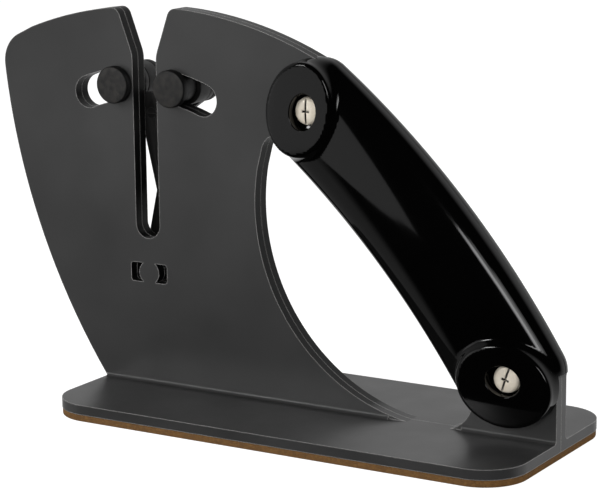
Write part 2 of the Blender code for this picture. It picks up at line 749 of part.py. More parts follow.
def build_knob(word, side):
    """Front knob, sleeve, barrel, rear knob and the screw that holds them on the arm's eye."""
    centre = knob_centre(side)
    front = LEFT_ARM_FRONT if side < 0 else RIGHT_ARM_FRONT
    back = front + ARM_THICKNESS
    bore = KNOB_SCREW_RADIUS + 0.1
    seat = -PLATE_FACE - 0.25
    cap = [(0.0, KNOB_FRONT), (KNOB_RADIUS - 0.7, KNOB_FRONT), (KNOB_RADIUS, KNOB_FRONT + 0.7)]
    cap += [(KNOB_RADIUS, seat), (bore, seat), (bore, seat - 2.0), (0.0, seat - 2.0)]
    turned(word + "_front_knob", cap, centre, "matt")
    post_end = front - 0.1 if side < 0 else PLATE_FACE + 0.3
    post = ring_round(bore, POST_RADIUS, seat + 0.1, post_end)
    turned(word + "_knob_post", post, centre, "matt")
    if side < 0:
        barrel = ring_round(bore, BARREL_RADIUS, back + 0.1, KNOB_BACK - 3.4)
    else:
        barrel = ring_round(bore, BARREL_RADIUS, PLATE_FACE + 0.4, front - 0.1)
    turned(word + "_knob_barrel", barrel, centre, "matt")
    low = KNOB_BACK - 3.3 + (0.1 if side > 0 else 0.0)
    rear = [(bore, low), (BARREL_RADIUS, low), (BARREL_RADIUS, KNOB_BACK - 0.6)]
    rear += [(BARREL_RADIUS - 0.6, KNOB_BACK), (3.9, KNOB_BACK), (3.9, KNOB_BACK - 0.3)]
    rear += [(bore, KNOB_BACK - 2.1)]
    turned(word + "_rear_knob", rear, centre, "matt")
    head = [(0.0, seat - 1.9), (KNOB_SCREW_RADIUS, seat - 1.9), (KNOB_SCREW_RADIUS, KNOB_BACK - 2.0)]
    head += [(3.7, KNOB_BACK - 0.3), (3.7, KNOB_BACK - 0.1), (0.0, KNOB_BACK - 0.1)]
    turned(word + "_knob_screw", head, centre, "arm", 20)


# Springs


def spring_path(side):
    """Centre line of a spring: a loop on the anchor post, the coil, a loop on the tail pin."""
    depth = LEFT_SPRING_Y if side < 0 else RIGHT_SPRING_Y
    anchor, tail = spring_anchor(side), tail_centre(side)
    way = Vector((tail[0] - anchor[0], tail[1] - anchor[1]))
    length = way.length
    way.normalize()
    up = Vector((-way.y, way.x))
    loop = 2.5
    coil = length - 2.0 * loop
    points = []
    for step in range(11):
        angle = math.radians(30.0 + 330.0 * step / 10)
        points.append((loop * math.cos(angle), loop * math.sin(angle), 0.0))
    steps = SPRING_TURNS * 8
    for step in range(1, steps):
        turn = 2.0 * math.pi * step / 8
        ramp = min(turn, 2.0 * math.pi * SPRING_TURNS - turn, math.pi)
        radius = SPRING_RADIUS * math.sin(ramp / 2.0)
        along = loop + coil * step / steps
        points.append((along, radius * math.cos(turn), radius * math.sin(turn)))
    for step in range(11):
        angle = math.radians(180.0 - 330.0 * step / 10)
        points.append((length + loop * math.cos(angle), -loop * math.sin(angle), 0.0))
    path = []
    for along, rise, out in points:
        spot = Vector(anchor) + way * along + up * rise
        path.append(Vector((spot.x, depth + out, spot.y)))
    return path


def tube(name, path, radius, sides, kind):
    """Sweep a round wire along a path, turning its section as little as it can."""
    corners = []
    faces = []
    normal = None
    for index, spot in enumerate(path):
        before = path[max(index - 1, 0)]
        after = path[min(index + 1, len(path) - 1)]
        tangent = (after - before).normalized()
        if normal is None:
            normal = tangent.orthogonal().normalized()
        normal = (normal - tangent * normal.dot(tangent)).normalized()
        other = tangent.cross(normal)
        for step in range(sides):
            angle = 2.0 * math.pi * step / sides
            corner = spot + (normal * math.cos(angle) + other * math.sin(angle)) * radius
            corners.append(tuple(corner))
    for row in range(len(path) - 1):
        for step in range(sides):
            following = (step + 1) % sides
            a, b = row * sides, (row + 1) * sides
            faces.append((a + step, a + following, b + following, b + step))
    last = (len(path) - 1) * sides
    faces += [tuple(range(sides)), tuple(range(last + sides - 1, last - 1, -1))]
    make_object(name, corners, faces, kind)


def build_spring(word, side):
    """Return spring and the post that anchors it on the rear sheet."""
    loop = LEFT_SPRING_Y if side < 0 else RIGHT_SPRING_Y
    shoulder = PLATE_FACE + 0.1
    profile = [(0.0, 0.4), (PIN_RADIUS, 0.4), (PIN_RADIUS, shoulder), (2.6, shoulder)]
    profile += [(2.6, loop - 1.2), (PIN_RADIUS, loop - 1.2), (PIN_RADIUS, loop + 0.8)]
    profile += [(2.5, loop + 0.8), (2.5, loop + 1.5), (0.0, loop + 1.5)]
    turned(word + "_spring_post", profile, spring_anchor(side), "steel", 20)
    tube(word + "_return_spring", spring_path(side), WIRE_RADIUS, 5, "steel")


clear_scene()
build_base()
build_handle()
build_arm("left", -1, LEFT_ARM_FRONT)
build_arm("right", 1, RIGHT_ARM_FRONT)
build_pivot()
for hand, label in ((-1, "left"), (1, "right")):
    build_knob(label, hand)
    build_spring(label, hand)
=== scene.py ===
"""Looks for the pull-through knife sharpener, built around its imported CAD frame.

Lengths in the shape code are millimetres; objects are made in metres, in the frame's own axes.
"""

from math import asin, atan2, cos, degrees, hypot, pi, radians, sin, sqrt, tan, tau

import bmesh
import bpy
import numpy as np
from mathutils import Matrix, Quaternion, Vector

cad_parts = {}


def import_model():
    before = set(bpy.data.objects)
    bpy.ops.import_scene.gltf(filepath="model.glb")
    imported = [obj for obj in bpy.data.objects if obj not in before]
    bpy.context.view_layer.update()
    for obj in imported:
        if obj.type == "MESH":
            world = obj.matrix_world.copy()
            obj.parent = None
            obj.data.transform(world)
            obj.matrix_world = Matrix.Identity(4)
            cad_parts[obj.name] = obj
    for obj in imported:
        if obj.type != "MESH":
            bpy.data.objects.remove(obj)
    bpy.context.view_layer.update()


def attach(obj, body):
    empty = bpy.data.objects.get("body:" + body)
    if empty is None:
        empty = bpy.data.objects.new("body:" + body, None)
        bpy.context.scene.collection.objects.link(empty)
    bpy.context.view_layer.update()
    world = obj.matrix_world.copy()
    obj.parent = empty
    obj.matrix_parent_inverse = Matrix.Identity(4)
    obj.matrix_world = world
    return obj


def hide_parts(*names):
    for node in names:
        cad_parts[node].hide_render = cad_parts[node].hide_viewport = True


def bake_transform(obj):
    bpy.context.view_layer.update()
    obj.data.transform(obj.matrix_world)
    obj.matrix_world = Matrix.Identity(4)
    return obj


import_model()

MM = 0.001
ROUND_STEPS = 96
OVAL_STEPS = 128
MERGE_DISTANCE = 0.000002

# Base and sheets
BASE_LENGTH = 200.0
BASE_WIDTH = 91.0
BASE_CORNER = 17.2
CORK_TOP = 2.6
CORK_INSET = 0.2
SHEET_UNDERSIDE = 2.7
SHEET_TOP = 6.6
SEAM_GAP = 0.1
PLATE_FACE = 4.0
FOOT_FILLET = 1.6
EMBED = 1.2
EDGE_EASE = 0.42

# Plate outline, XZ; a circle is its centre and radius
LEFT_EDGE = ((113.5, 158.0), 261.4)
TOP_EDGE_CENTRE = (-73.0, -15.5)
TOP_EDGE_RADIUS = 173.0
TOP_LEFT_CORNER = 12.5
OPENING = ((50.4, 83.5), 77.8)

# Cutouts in the plate
CENTRE_X = -77.7
SLOT_HALF = 5.6
SLOT_BOTTOM = 71.1
MOUTH_START = 138.3
MOUTH_HALF = 12.4
MOUTH_CORNER = 4.0
PIVOT_Z = 51.5
PIVOT = (CENTRE_X, PIVOT_Z)
KNOB_SLOT_HALF = 6.35
KNOB_HALF_SPACING = 13.4
KNOB_Z = 126.2
SWING_DEG = 10.8
WINDOW_HALF = 8.55
WINDOW_LOW = 47.7
WINDOW_HIGH = 55.4
WINDOW_BRIDGE = 4.75

# Upright under the handle's lower end
UPRIGHT_LEFT = 66.0
UPRIGHT_RIGHT = 100.0
UPRIGHT_FOOT_RADIUS = 12.4

# Handle
UPPER_LOBE = (-0.4, 121.8)
UPPER_SCREW = (-1.8, 121.8)
LOWER_SCREW = (81.4, 29.4)
ARCH_CENTRE = (-232.0, -167.3)
ARCH_RADIUS = 368.8
GRIP_UPPER_HALF_WIDTH = 20.9
GRIP_LOWER_HALF_WIDTH = 21.9
GRIP_DEPTH = 9.5
GRIP_END_DEPTH = 8.3
GRIP_SQUARENESS = 2.6
GRIP_END_LENGTH = 14.7
UPPER_BOSS = {"centre": (-4.2, 122.35), "half": (18.35, 14.1), "tilt": 77.0}
LOWER_BOSS = {"centre": (81.1, 27.2), "half": (19.2, 15.4), "tilt": 174.0}
BOSS_FACE = 11.0
BOSS_CROWN = 0.55
BOSS_RIM = 1.3
BOSS_BLEND = 2.6
REBATE_GAP = 0.35
REBATE_EXIT = 32.5
RECESS_HALF = (7.0, 5.6)
RECESS_FLOOR = 5.6
RIM_EASE = 0.5
SCREW_HEAD_RADIUS = 5.1
SCREW_SHANK_RADIUS = 2.5
SCREW_HOLE_RADIUS = SCREW_SHANK_RADIUS + 0.2
HANDLE_GRID = 0.8

# Arms
ARM_TILT_DEG = 12.8
ARM_THICKNESS = 3.2
ARM_FRONT = {-1: 4.7, 1: 12.0}
BAR_INNER = 5.7
BAR_OUTER = 13.1
BAR_END = 70.4
EYE_RADIUS = 7.4
TAIL_ALONG = -22.5
TAIL_ACROSS = -7.2
JOURNAL_RADIUS = 4.0
BUSH_OUTER = 5.0
RUNNING_GAP = 0.05
STRIP_THICKNESS = 1.9

# Knobs
KNOB_RADIUS = 7.35
BARREL_RADIUS = 7.5
KNOB_FRONT = -7.8
KNOB_BACK = 18.5
POST_RADIUS = 5.8
KNOB_SCREW_RADIUS = 2.0
KNOB_BORE = KNOB_SCREW_RADIUS + 0.1

# Springs
SPRING_RADIUS = 1.5
WIRE_RADIUS = 0.32
SPRING_TURNS = 11
STEPS_PER_TURN = 16
SPRING_Y = {-1: 9.9, 1: 17.3}
ANCHOR_REACH = 26.3
ANCHOR_Z = 28.0
PIN_RADIUS = 1.5

SIDES = ((-1, "left"), (1, "right"))


# Materials

METAL_SHADE = 0.85


class Nodes:
    """A node tree under construction."""

    def __init__(self, tree):
        self.tree = tree

    def node(self, kind, values=None, **settings):
        made = self.tree.nodes.new(kind)
        for key, value in settings.items():
            setattr(made, key, value)
        for key, value in (values or {}).items():
            self.feed(made.inputs[key], value)
        return made

    def feed(self, socket, value):
        if isinstance(value, bpy.types.NodeSocket):
            self.tree.links.new(value, socket)
        else:
            socket.default_value = value

    def calc(self, operation, *values):
        return self.node("ShaderNodeMath", dict(enumerate(values)), operation=operation).outputs[0]

    def ramp(self, value, low, high, start=0.0, end=1.0, **settings):
        """Map start..end of a value to low..high, as numbers."""
        values = {"Value": value, "From Min": start, "From Max": end, "To Min": low, "To Max": high}
        return self.node("ShaderNodeMapRange", values, **settings).outputs["Result"]


class Look(Nodes):
    """A node material under construction."""

    def __init__(self, name):
        self.material = bpy.data.materials.new(name)
        self.material.use_nodes = True
        super().__init__(self.material.node_tree)
        self.shader = self.tree.nodes["Principled BSDF"]
        self.place = self.node("ShaderNodeTexCoord").outputs["Object"]

    def set(self, **values):
        for key, value in values.items():
            self.feed(self.shader.inputs[key.replace("_", " ")], value)

    def stretched(self, x, y, z):
        return self.node("ShaderNodeMapping", {"Vector": self.place, "Scale": (x, y, z)}).outputs[0]

    def noise(self, scale, detail=2.0, where=None):
        values = {"Vector": where or self.place, "Scale": scale, "Detail": detail}
        return self.node("ShaderNodeTexNoise", values).outputs["Fac"]

    def patches(self, scale, detail, low=0.0, high=1.0, start=0.3, end=0.7):
        """Soft patches between two levels."""
        return self.ramp(self.noise(scale, detail), low, high, start, end)

    def cells(self, scale, feature="F1", output="Distance"):
        values = {"Vector": self.place, "Scale": scale}
        return self.node("ShaderNodeTexVoronoi", values, feature=feature).outputs[output]

    def blend(self, value, first, second):
        return self.node("ShaderNodeMix", {0: value, 6: first, 7: second}, data_type="RGBA").outputs[2]

    def bump(self, height, strength, distance, normal=None):
        values = {"Height": height, "Strength": strength, "Distance": distance}
        if normal:
            values["Normal"] = normal
        return self.node("ShaderNodeBump", values).outputs["Normal"]

    def facing(self):
        """1 on faces that look along Y, 0 on those around them."""
        normal = self.node("ShaderNodeNewGeometry").outputs["Normal"]
        along = self.calc("ABSOLUTE", self.node("ShaderNodeSeparateXYZ", {0: normal}).outputs["Y"])
        return self.ramp(along, 0.0, 1.0, 0.55, 0.9)

    def edge(self, radius, gain):
        """Near 0 on flat faces and up to the gain along edges."""
        soft = self.node("ShaderNodeBevel", {"Radius": radius}, samples=4).outputs[0]
        plain = self.node("ShaderNodeNewGeometry").outputs["Normal"]
        dot = self.node("ShaderNodeVectorMath", {0: soft, 1: plain}, operation="DOT_PRODUCT")
        return self.ramp(dot.outputs["Value"], gain, 0.0, 0.75, 0.995)


def grey(value, warm=0.0):
    return (value * (1.0 + warm), value, value * (1.0 - warm), 1.0)


def sheet_look():
    """Satin powder coat: fine orange peel, faint clouds, painted highlights along the edges, painted shade
    on the plate's cut walls.
    """
    look = Look("satin_powder_coat")
    clouds = look.patches(22.0, 3.0, start=0.35, end=0.65)
    colour = look.blend(clouds, grey(0.028), grey(0.039))
    # Painted shade: the plate's side walls above the base get a near-black colour and weaker reflection.
    place = look.node("ShaderNodeSeparateXYZ", {0: look.place}).outputs
    on_plate = look.ramp(place["X"], 1.0, 0.0, 0.060, 0.061)
    above_base = look.ramp(place["Z"], 0.0, 1.0, 0.009, 0.011)
    sideways = look.ramp(look.facing(), 1.0, 0.0)
    wall_shade = look.calc("MULTIPLY", look.calc("MULTIPLY", on_plate, above_base), sideways)
    colour = look.blend(wall_shade, colour, grey(0.008))
    # Painted highlight: pale grey along the edges.
    colour = look.blend(look.edge(0.0006, 1.0), colour, grey(0.36, 0.02))
    peel = look.bump(look.noise(2600.0, 2.0), 0.10, 0.00003)
    rough = look.patches(60.0, 4.0, 0.29, 0.35)
    look.set(Base_Color=colour, Roughness=rough, Normal=peel, IOR=1.55)
    # Painted shade: weaker reflection on the same walls.
    look.set(Specular_IOR_Level=look.ramp(wall_shade, 0.5, 0.12))
    return look.material


def gloss_look():
    """Polished black moulding with very faint flow waves and fine hairlines."""
    look = Look("gloss_black_moulding")
    colour = look.blend(look.noise(30.0), grey(0.0005), grey(0.0012))
    rough = look.patches(45.0, 5.0, 0.05, 0.09)
    waves = look.bump(look.noise(70.0, 1.0), 0.05, 0.0002)
    lines = look.bump(look.noise(900.0, 2.0, look.stretched(1.0, 1.0, 0.05)), 0.015, 0.00002, waves)
    look.set(Base_Color=colour, Roughness=rough, Normal=lines, IOR=1.46)
    return look.material


def rubber_look(name, base, rough_low, rough_high):
    """Matt moulded black with faint warm mottling, painted shade on the side walls and a pebbled skin."""
    look = Look(name)
    mottle = look.patches(420.0, 4.0, start=0.38, end=0.66)
    colour = look.blend(mottle, grey(base), grey(base * 1.9, 0.08))
    # Painted shade: faces that do not look along Y get a quarter of the base colour.
    colour = look.blend(look.facing(), grey(base * 0.25), colour)
    colour = look.blend(look.edge(0.0004, 0.4), colour, grey(base * 3.0))
    pebbles = look.bump(look.noise(2300.0, 3.0), 0.35, 0.00005)
    rough = look.patches(300.0, 3.0, rough_low, rough_high)
    look.set(Base_Color=colour, Roughness=rough, Normal=pebbles)
    return look.material


def plated_look():
    """Bright nickel: fine turned grain, warm tone, painted shade in its slots."""
    look = Look("bright_nickel")
    grain = look.noise(1500.0, 3.0, look.stretched(1.0, 1.0, 0.15))
    tone = look.patches(350.0, 4.0)
    colour = look.blend(tone, (0.78, 0.70, 0.57, 1.0), (0.90, 0.83, 0.71, 1.0))
    # Painted shade: near black where ambient occlusion finds a hollow, as in the slots.
    hollow_shade = look.node("ShaderNodeAmbientOcclusion", {"Distance": 0.0012}, samples=8).outputs["AO"]
    colour = look.blend(look.ramp(hollow_shade, 0.0, 1.0, 0.5, 0.85), (0.03, 0.028, 0.025, 1.0), colour)
    look.set(Base_Color=colour, Metallic=0.12, Roughness=look.ramp(grain, 0.16, 0.28, 0.3, 0.7))
    look.set(Normal=look.bump(grain, 0.12, 0.00002))
    return look.material


def metal_look(name, colour, rough):
    """Bare or plated metal with fine grain and small tone changes."""
    look = Look(name)
    darker = tuple(part * METAL_SHADE for part in colour[:3]) + (1.0,)
    look.set(Base_Color=look.blend(look.patches(350.0, 4.0), darker, colour), Metallic=1.0)
    grain = look.noise(1500.0, 3.0)
    look.set(Roughness=look.ramp(grain, rough * 0.75, rough * 1.3, 0.3, 0.7))
    look.set(Normal=look.bump(grain, 0.12, 0.00002))
    return look.material


def coat_look():
    """Thin black coat on the arms: low sheen, fine grain, paler at the edges."""
    look = Look("thin_black_coat")
    colour = look.blend(look.noise(180.0, 4.0), grey(0.006), grey(0.011, 0.03))
    colour = look.blend(look.edge(0.0004, 0.5), colour, grey(0.07, 0.03))
    look.set(Base_Color=colour, Roughness=look.patches(500.0, 3.0, 0.38, 0.5))
    look.set(Normal=look.bump(look.noise(2800.0, 2.0), 0.15, 0.00003))
    return look.material


def grit_look():
    """Abrasive face: bonded grains of a few tenths of a millimetre, some of them bright."""
    look = Look("bonded_abrasive")
    grains = look.cells(4200.0)
    colour = look.blend(look.ramp(grains, 0.0, 1.0, 0.15, 0.75), grey(0.03), grey(0.10, 0.02))
    bright = look.patches(5200.0, 1.0, start=0.62, end=0.72)
    colour = look.blend(bright, colour, grey(0.4))
    look.set(Base_Color=colour, Roughness=look.ramp(grains, 0.45, 0.8), Metallic=0.3)
    look.set(Normal=look.bump(grains, 0.8, 0.0001))
    return look.material


def cork_look():
    """Agglomerated cork: granules of about a millimetre in two browns, with dark flecks."""
    look = Look("pressed_cork")
    shade = look.node("ShaderNodeSeparateColor", {0: look.cells(900.0, "F1", "Color")}).outputs[0]
    colour = look.blend(shade, (0.134, 0.065, 0.018, 1.0), (0.190, 0.097, 0.030, 1.0))
    fleck = look.patches(1500.0, 3.0, 0.0, 0.6, 0.62, 0.70)
    colour = look.blend(fleck, colour, (0.05, 0.022, 0.008, 1.0))
    joints = look.cells(900.0, "DISTANCE_TO_EDGE")
    colour = look.blend(look.ramp(joints, 0.35, 0.0, 0.0, 0.12), colour, (0.08, 0.035, 0.012, 1.0))
    look.set(Base_Color=colour, Roughness=look.ramp(shade, 0.8, 0.95))
    look.set(Normal=look.bump(look.ramp(joints, 0.0, 1.0, 0.0, 0.2), 0.5, 0.0001))
    return look.material


LOOKS = {
    "sheet": sheet_look(),
    "gloss": gloss_look(),
    "knob": rubber_look("matt_black_knob", 0.0125, 0.5, 0.62),
    "barrel": rubber_look("matt_grey_sleeve", 0.005, 0.42, 0.55),
    "nickel": plated_look(),
    "zinc": metal_look("zinc_plate", (0.55, 0.55, 0.54, 1.0), 0.32),
    "wire": metal_look("spring_wire", (0.50, 0.50, 0.50, 1.0), 0.28),
    "bronze": metal_look("sintered_bronze", (0.50, 0.33, 0.15, 1.0), 0.4),
    "coat": coat_look(),
    "grit": grit_look(),
    "cork": cork_look(),
}


# Mesh helpers


def add_object(name, data):
    """New object in the scene."""
    thing = bpy.data.objects.new(name, data)
    bpy.context.scene.collection.objects.link(thing)
    return thing


def make_object(corners, faces):
    """Make a closed mesh object from corners in millimetres."""
    mesh = bpy.data.meshes.new("piece")
    mesh.from_pydata([Vector(corner) * MM for corner in corners], [], faces)
    work = bmesh.new()
    work.from_mesh(mesh)
    bmesh.ops.recalc_face_normals(work, faces=work.faces)
    work.to_mesh(mesh)
    work.free()
    return add_object("piece", mesh)


def loft(rings):
    """Closed solid through rings of corners, with flat ends."""
    count = len(rings[0])
    corners = [corner for ring in rings for corner in ring]
    last = len(corners) - count
    faces = [tuple(range(count)), tuple(range(last + count - 1, last - 1, -1))]
    for start in range(0, last, count):
        for step in range(count):
            following = (step + 1) % count
            near, far = start, start + count
            faces.append((near + step, near + following, far + following, far + step))
    return make_object(corners, faces)


def settle(thing):
    """Replace an object's mesh by what its modifiers make of it."""
    depsgraph = bpy.context.evaluated_depsgraph_get()
    mesh = bpy.data.meshes.new_from_object(thing.evaluated_get(depsgraph))
    thing.modifiers.clear()
    thing.data = mesh
    return thing


def combine(thing, other, operation):
    step = thing.modifiers.new("step", "BOOLEAN")
    step.operation = operation
    step.object = other
    step.solver = "EXACT"
    settle(thing)
    bpy.data.objects.remove(other)


def cut(thing, other):
    combine(thing, other, "DIFFERENCE")


def join(thing, other):
    combine(thing, other, "UNION")


def ease_edges(thing, width, segments=3, least_deg=35.0):
    """Round the outside edges of a mesh that are sharper than a given angle."""
    work = bmesh.new()
    work.from_mesh(thing.data)
    bmesh.ops.remove_doubles(work, verts=work.verts, dist=MERGE_DISTANCE)
    bmesh.ops.dissolve_limit(
        work, angle_limit=radians(0.05), verts=work.verts, edges=work.edges, delimit=set()
    )
    layer = work.edges.layers.float.new("bevel_weight_edge")
    for edge in work.edges:
        if edge.is_convex and edge.calc_face_angle(0.0) > radians(least_deg):
            edge[layer] = 1.0
    work.to_mesh(thing.data)
    work.free()
    step = thing.modifiers.new("ease", "BEVEL")
    step.width = width * MM
    step.segments = segments
    step.limit_method = "WEIGHT"
    step.harden_normals = True
    step.miter_outer = "MITER_ARC"
    return settle(thing)


def finish_piece(thing, look, node, body="body", name=None):
    """Name, paint and attach the piece that stands for a CAD node."""
    thing.name = name or node + "_finish"
    thing.data.name = thing.name
    thing.data.materials.clear()
    thing.data.materials.append(LOOKS[look])
    if body:
        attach(thing, body)
    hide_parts(node)


def smooth(thing, angle=35.0):
    thing.data.shade_smooth()
    thing.data.set_sharp_from_angle(angle=radians(angle))
    return thing


# Outlines


def arc(centre, radius, start, end, steps):
    """Points of an arc, from one angle to another in degrees."""
    points = []
    for step in range(steps + 1):
        angle = radians(start + (end - start) * step / steps)
        points.append((centre[0] + radius * cos(angle), centre[1] + radius * sin(angle)))
    return points


def rotate(x, z, angle):
    """Turn a point about the origin, by radians."""
    return x * cos(angle) - z * sin(angle), x * sin(angle) + z * cos(angle)


def angle_at(centre, point):
    """Direction of a point from a centre, in degrees."""
    return degrees(atan2(point[1] - centre[1], point[0] - centre[0])) % 360.0


def on_top_edge(x, grow=0.0):
    """Point of the plate's arched top edge at a given X."""
    radius = TOP_EDGE_RADIUS + grow
    return (x, TOP_EDGE_CENTRE[1] + sqrt(radius**2 - (x - TOP_EDGE_CENTRE[0]) ** 2))


def left_of(circle, z):
    """Point at a given height on the left side of a (centre, radius) circle."""
    centre, radius = circle
    return (centre[0] - sqrt(radius**2 - (z - centre[1]) ** 2), z)


def round_corners(points, steps=12):
    """Round each corner (x, z, radius) of an outline; a plain (x, z) stays sharp."""
    outline = []
    for index, point in enumerate(points):
        if len(point) == 2 or point[2] == 0.0:
            outline.append((point[0], point[1]))
            continue
        corner = Vector(point[:2])
        before = (Vector(points[index - 1][:2]) - corner).normalized()
        after = (Vector(points[(index + 1) % len(points)][:2]) - corner).normalized()
        half = before.angle(after) / 2.0
        centre = corner + (before + after).normalized() * (point[2] / sin(half))
        first = corner + before * (point[2] / tan(half)) - centre
        last = corner + after * (point[2] / tan(half)) - centre
        sweep = first.angle_signed(last)
        for step in range(steps + 1):
            turn = -sweep * step / steps
            x, z = rotate(first.x, first.y, turn)
            outline.append((centre.x + x, centre.y + z))
    return outline


def prism(outline, low, high, plane="XZ"):
    """Extrude an outline: in XZ it runs along Y, in XY along Z, in YZ along X."""

    def place(point, depth):
        if plane == "XZ":
            return (point[0], depth, point[1])
        if plane == "XY":
            return (point[0], point[1], depth)
        return (depth, point[0], point[1])

    return loft([[place(point, depth) for point in outline] for depth in (low, high)])


def turned(profile, centre, steps=ROUND_STEPS):
    """Turn a closed profile of (radius, y) or (radius, y, ease) about an axis along Y."""
    profile = round_corners(profile, 4)
    corners = []
    rings = []
    for radius, depth in profile:
        if abs(radius) < 1e-6:
            rings.append([len(corners)] * steps)
            corners.append((centre[0], depth, centre[1]))
            continue
        rings.append(list(range(len(corners), len(corners) + steps)))
        for step in range(steps):
            angle = tau * step / steps
            spoke = (radius * cos(angle), radius * sin(angle))
            corners.append((centre[0] + spoke[0], depth, centre[1] + spoke[1]))
    faces = []
    for index, ring in enumerate(rings):
        other = rings[(index + 1) % len(rings)]
        if len(set(ring)) == 1 and len(set(other)) == 1:
            continue
        for step in range(steps):
            following = (step + 1) % steps
            face = (ring[step], ring[following], other[following], other[step])
            faces.append(tuple(dict.fromkeys(face)))
    return make_object(corners, faces)


def solid_round(radius, low, high, ease=0.0):
    """Profile of a plain cylinder, with both rims eased."""
    return [(0.0, low), (radius, low, ease), (radius, high, ease), (0.0, high)]


def ring_round(inner, outer, low, high, ease=0.2):
    """Profile of a tube with eased rims."""
    return [(inner, low, ease * 0.5), (outer, low, ease), (outer, high, ease), (inner, high, ease * 0.5)]


def drill(thing, radius, low, high, centre, steps=ROUND_STEPS):
    """Cut a round hole along Y."""
    cut(thing, turned(solid_round(radius, low, high), centre, steps))


def slot_bar(centre, long_half, wide_half, low, high, turn_deg=0.0):
    """Cutter for a straight slot across a screw head or nut."""
    outline = []
    for first, second in ((-1, -1), (1, -1), (1, 1), (-1, 1)):
        x, z = rotate(first * long_half, second * wide_half, radians(turn_deg))
        outline.append((centre[0] + x, centre[1] + z))
    return prism(outline, low, high)


# Base and sheets


def base_outline(near, far, near_corner, inset=0.0):
    """Rounded rectangle of the base or of a half of it, seen from above."""
    x, corner = BASE_LENGTH / 2.0 - inset, BASE_CORNER - inset
    outline = [(-x, near, near_corner), (x, near, near_corner), (x, far, corner), (-x, far, corner)]
    return round_corners(outline, 24)


def upper_tab(grow):
    """The plate's lobe under the handle's upper boss, from the top edge round to the opening."""
    right = 10.4 + grow
    points = [on_top_edge(2.0, grow), (*on_top_edge(right, grow), 9.0)]
    points += arc(UPPER_LOBE, right - UPPER_LOBE[0], 0.0, -120.0, 20)
    points.append((-22.6 + grow, UPPER_LOBE[1] - 10.8 - grow, 8.0))
    points.append((left_of(OPENING, 98.0)[0] + grow, 98.0))
    return points


def lower_tab(grow):
    """The upright's top, under the handle's lower boss."""
    points = [(UPRIGHT_LEFT - grow, 30.0, 3.0), (69.0 - grow, 40.0 + grow, 6.0)]
    return points + [(90.0, 42.0 + grow, 8.0), (UPRIGHT_RIGHT + grow, 31.0 + grow, 2.0)]


def plate_outline():
    """Outline of the slotted plate, with the knife slot open at the top."""
    deep = SHEET_TOP - EMBED
    points = [(left_of(LEFT_EDGE, SHEET_TOP)[0], deep)]
    points += [left_of(LEFT_EDGE, SHEET_TOP + 6.1 * step) for step in range(21)]
    points.append((-147.3, 140.0, TOP_LEFT_CORNER))
    points += [on_top_edge(-132.0 + 4.25 * step) for step in range(9)]
    points.append((*on_top_edge(CENTRE_X - MOUTH_HALF), MOUTH_CORNER))
    points.append((CENTRE_X - SLOT_HALF, MOUTH_START, 12.0))
    points += arc((CENTRE_X, SLOT_BOTTOM), SLOT_HALF, 180.0, 360.0, 32)
    points.append((CENTRE_X + SLOT_HALF, MOUTH_START, 12.0))
    points.append((*on_top_edge(CENTRE_X + MOUTH_HALF), MOUTH_CORNER))
    points += [on_top_edge(-57.0 + 4.25 * step) for step in range(13)]
    points += upper_tab(0.0)
    start, end = (angle_at(OPENING[0], left_of(OPENING, z)) for z in (98.0, SHEET_TOP))
    points += arc(*OPENING, start, end, 56)[1:]
    points.append((left_of(OPENING, SHEET_TOP)[0], deep))
    return round_corners(points)


def upright_outline():
    """Outline of the small upright that carries the handle's lower end."""
    deep = SHEET_TOP - EMBED
    centre = (UPRIGHT_LEFT - UPRIGHT_FOOT_RADIUS, 18.6)
    start = degrees(asin((SHEET_TOP - centre[1]) / UPRIGHT_FOOT_RADIUS))
    points = arc(centre, UPRIGHT_FOOT_RADIUS, start, 0.0, 16)
    points.insert(0, (points[0][0], deep))
    points += lower_tab(0.0)
    points.append((UPRIGHT_RIGHT, deep))
    return round_corners(points)


def foot_fillet(side, left, right):
    """Inside radius of the bend between a base half and its plate."""
    face, run, buried = side * PLATE_FACE, side * FOOT_FILLET, side * EMBED
    top, deep = SHEET_TOP + FOOT_FILLET, SHEET_TOP - EMBED
    outline = [(face - buried, top), (face - buried, deep), (face + run, deep)]
    for step in range(11):
        angle = pi / 2.0 * step / 10
        reach = face + run * (1.0 - sin(angle))
        outline.append((reach, top - FOOT_FILLET * cos(angle)))
    return prism(outline, left, right, "YZ")


def knob_slot(side, low, high):
    """Cutter for one curved knob slot, centred on the pivot."""
    reach = hypot(KNOB_HALF_SPACING, KNOB_Z - PIVOT_Z)
    rest = degrees(atan2(KNOB_Z - PIVOT_Z, KNOB_HALF_SPACING))
    first = 180.0 - rest if side < 0 else rest
    last = first - side * SWING_DEG
    outline = arc(PIVOT, reach - KNOB_SLOT_HALF, first, last, 14)
    end = arc(PIVOT, reach, last, last, 1)[0]
    outline += arc(end, KNOB_SLOT_HALF, last + 180.0, last + 180.0 + side * 180.0, 28)[1:-1]
    outline += arc(PIVOT, reach + KNOB_SLOT_HALF, last, first, 14)
    start = arc(PIVOT, reach, first, first, 1)[0]
    outline += arc(start, KNOB_SLOT_HALF, first, first + side * 180.0, 28)[1:-1]
    return prism(outline, low, high)


def window(side, low, high):
    """Cutter for one window beside the pivot; its inner side is round."""
    edge = CENTRE_X + side * WINDOW_HALF
    middle = (WINDOW_LOW + WINDOW_HIGH) / 2.0
    spread = degrees(asin((WINDOW_HIGH - WINDOW_LOW) / 2.0 / WINDOW_BRIDGE))
    inner = arc((CENTRE_X, middle), WINDOW_BRIDGE, -spread, spread, 16)
    inner = [(CENTRE_X + side * (x - CENTRE_X), z) for x, z in inner]
    outline = inner + [(edge, WINDOW_HIGH, 1.2), (edge, WINDOW_LOW, 1.2)]
    return prism(round_corners(outline, 6), low, high)


